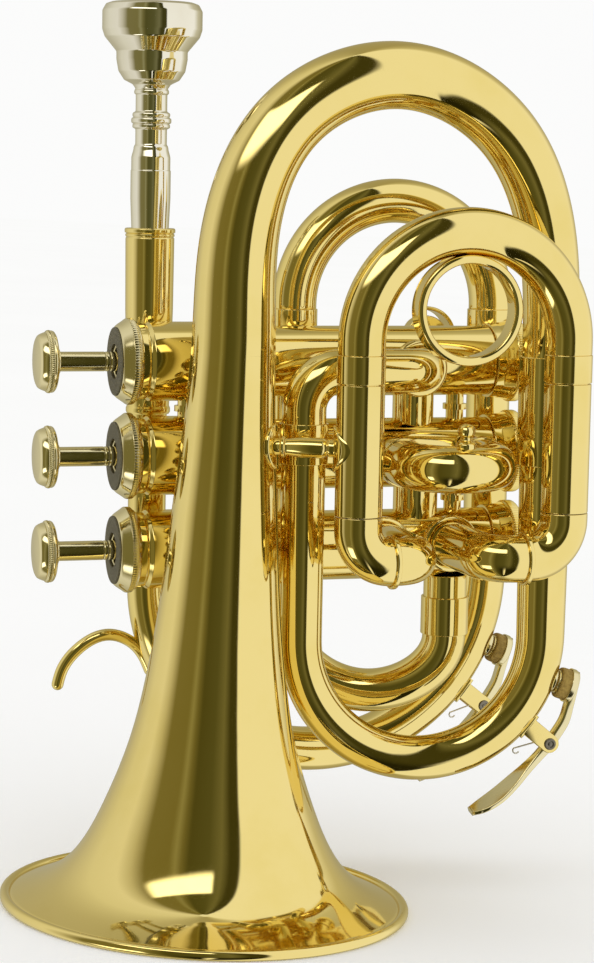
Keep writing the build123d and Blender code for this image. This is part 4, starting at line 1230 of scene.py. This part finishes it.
def add_foot(piece, origin, out, up_way, radius_at, foot_r, thick):
    """A round plate that hugs a tube, centred on the brace's line."""
    origin, out, up_way = Vector(origin), Vector(out).normalized(), Vector(up_way).normalized()
    side_way = out.cross(up_way)
    base = len(piece.points)
    rings, spokes = 8, 64
    for lift in (thick, -0.05):
        for i in range(rings + 1):
            rho = foot_r * (1 - (1 - i / rings) ** 2) if i else 0.0
            for k in range(spokes):
                a = 2 * math.pi * k / spokes
                high, wide = rho * math.cos(a), rho * math.sin(a)
                r = radius_at(high)
                drop = lift if i < rings or lift < 0 else thick * 0.5
                depth = math.sqrt(max(0.0, (r + drop) ** 2 - wide**2))
                piece.points.append(origin + up_way * high + side_way * wide + out * depth)
    layer = (rings + 1) * spokes
    for i in range(rings):
        for k in range(spokes):
            m = (k + 1) % spokes
            a, b = base + i * spokes, base + (i + 1) * spokes
            piece.faces.append((a + k, b + k, b + m, a + m))
            piece.faces.append((a + layer + k, a + layer + m, b + layer + m, b + layer + k))
    rim = base + rings * spokes
    for k in range(spokes):
        m = (k + 1) % spokes
        piece.faces.append((rim + k, rim + layer + k, rim + layer + m, rim + m))


def bell_brace():
    """A barrel-shaped bar between two round feet."""
    brace_z = 125.4
    start = Vector((brace_z * math.tan(LEAN), 0, brace_z))
    end = Vector((THIRD_X[0], THIRD_Y, brace_z))
    span = (end - start).length
    right_end = span - 6.4
    middle = (16.4 + right_end) / 2
    piece = Piece()
    piece.lathe(
        [
            (0, 12.9), (2.3, 12.9), (2.3, 14.4), (2.9, 14.6), (2.9, 15.4), (2.3, 15.7),
            (2.35, 16.4), (2.75, middle - 3), (2.85, middle), (2.75, middle + 3),
            (2.35, right_end - 2.6), (2.0, right_end - 2.2), (2.4, right_end - 1.7),
            (2.4, right_end - 0.1), (0, right_end - 0.1),
        ],
        start,
        end - start,
        sides=72,
        edge=0.25,
    )
    outline = BELL_OUTLINE

    def stem_radius(high):
        z = brace_z + high
        for (r1, z1), (r2, z2) in zip(outline, outline[1:]):
            if z >= z2:
                return r2 + (r1 - r2) * (z - z2) / (z1 - z2)
        return outline[-1][0]

    way = (end - start).normalized()
    add_foot(piece, start, way, (math.sin(LEAN), 0, math.cos(LEAN)), stem_radius, 6.2, 0.7)
    add_foot(piece, end, -way, (0, 0, 1), lambda high: 6.4, 6.2, 0.7)
    piece.build("bell_brace_bar", "horn", "brass", ["bell_brace"])


def thumb_hook():
    """A band that arches over the first slide's leg from a raised pad."""
    x, z, near, far = SHORT_X[1], 150.4, 55.0, 63.0
    outer, inner = 9.0, 7.9
    section = soften([(near, inner), (near, outer), (far, outer), (far, inner)], 0.35)
    piece = Piece()
    start, end, steps = math.radians(99), math.radians(-58), 40
    count = len(section)
    for i in range(steps + 1):
        a = start + (end - start) * i / steps
        for y, r in section:
            piece.points.append(Vector((x + r * math.cos(a), y, z + r * math.sin(a))))
    for i in range(steps):
        for k in range(count):
            m = (k + 1) % count
            a, b = i * count, (i + 1) * count
            piece.faces.append((a + k, a + m, b + m, b + k))
    piece.faces.append(tuple(range(count - 1, -1, -1)))
    piece.faces.append(tuple(steps * count + k for k in range(count)))
    piece.rod((x, near, z), (x, near + 5, z), 6.3, sides=72, edge=0.4)
    piece.build("thumb_hook_band", "first_slide", "brass", ["first_slide_thumb_saddle"])


def bracing():
    spline = smooth_points(
        [
            (-4.4, BACK_Y, 54.5), (-9.0, BACK_Y, 63.0), (-17.5, BACK_Y, 66.6),
            (-25.6, BACK_Y, 63.0), (-30.4, BACK_Y, 57.0), (-32.0, BACK_Y, 51.2),
        ],
        step=0.5,
    )
    hook = Piece()
    hook.bar(Route(spline), 1.7)
    hook.build("finger_hook_rod", "horn", "brass", ["finger_hook"])


bell()
bell_side()
mouthpiece()
leadpipe()
tuning_slide()
third_slide()
short_slide("second", 119.0, 8.6, 0.0, -1)
short_slide("first", 146.5, 52.0, 57.0, 1)
second_knob()
for index, valve_z in enumerate(VALVE_Z, start=1):
    valve(index, valve_z)
caps()
water_keys()
bell_brace()
thumb_hook()
bracing()
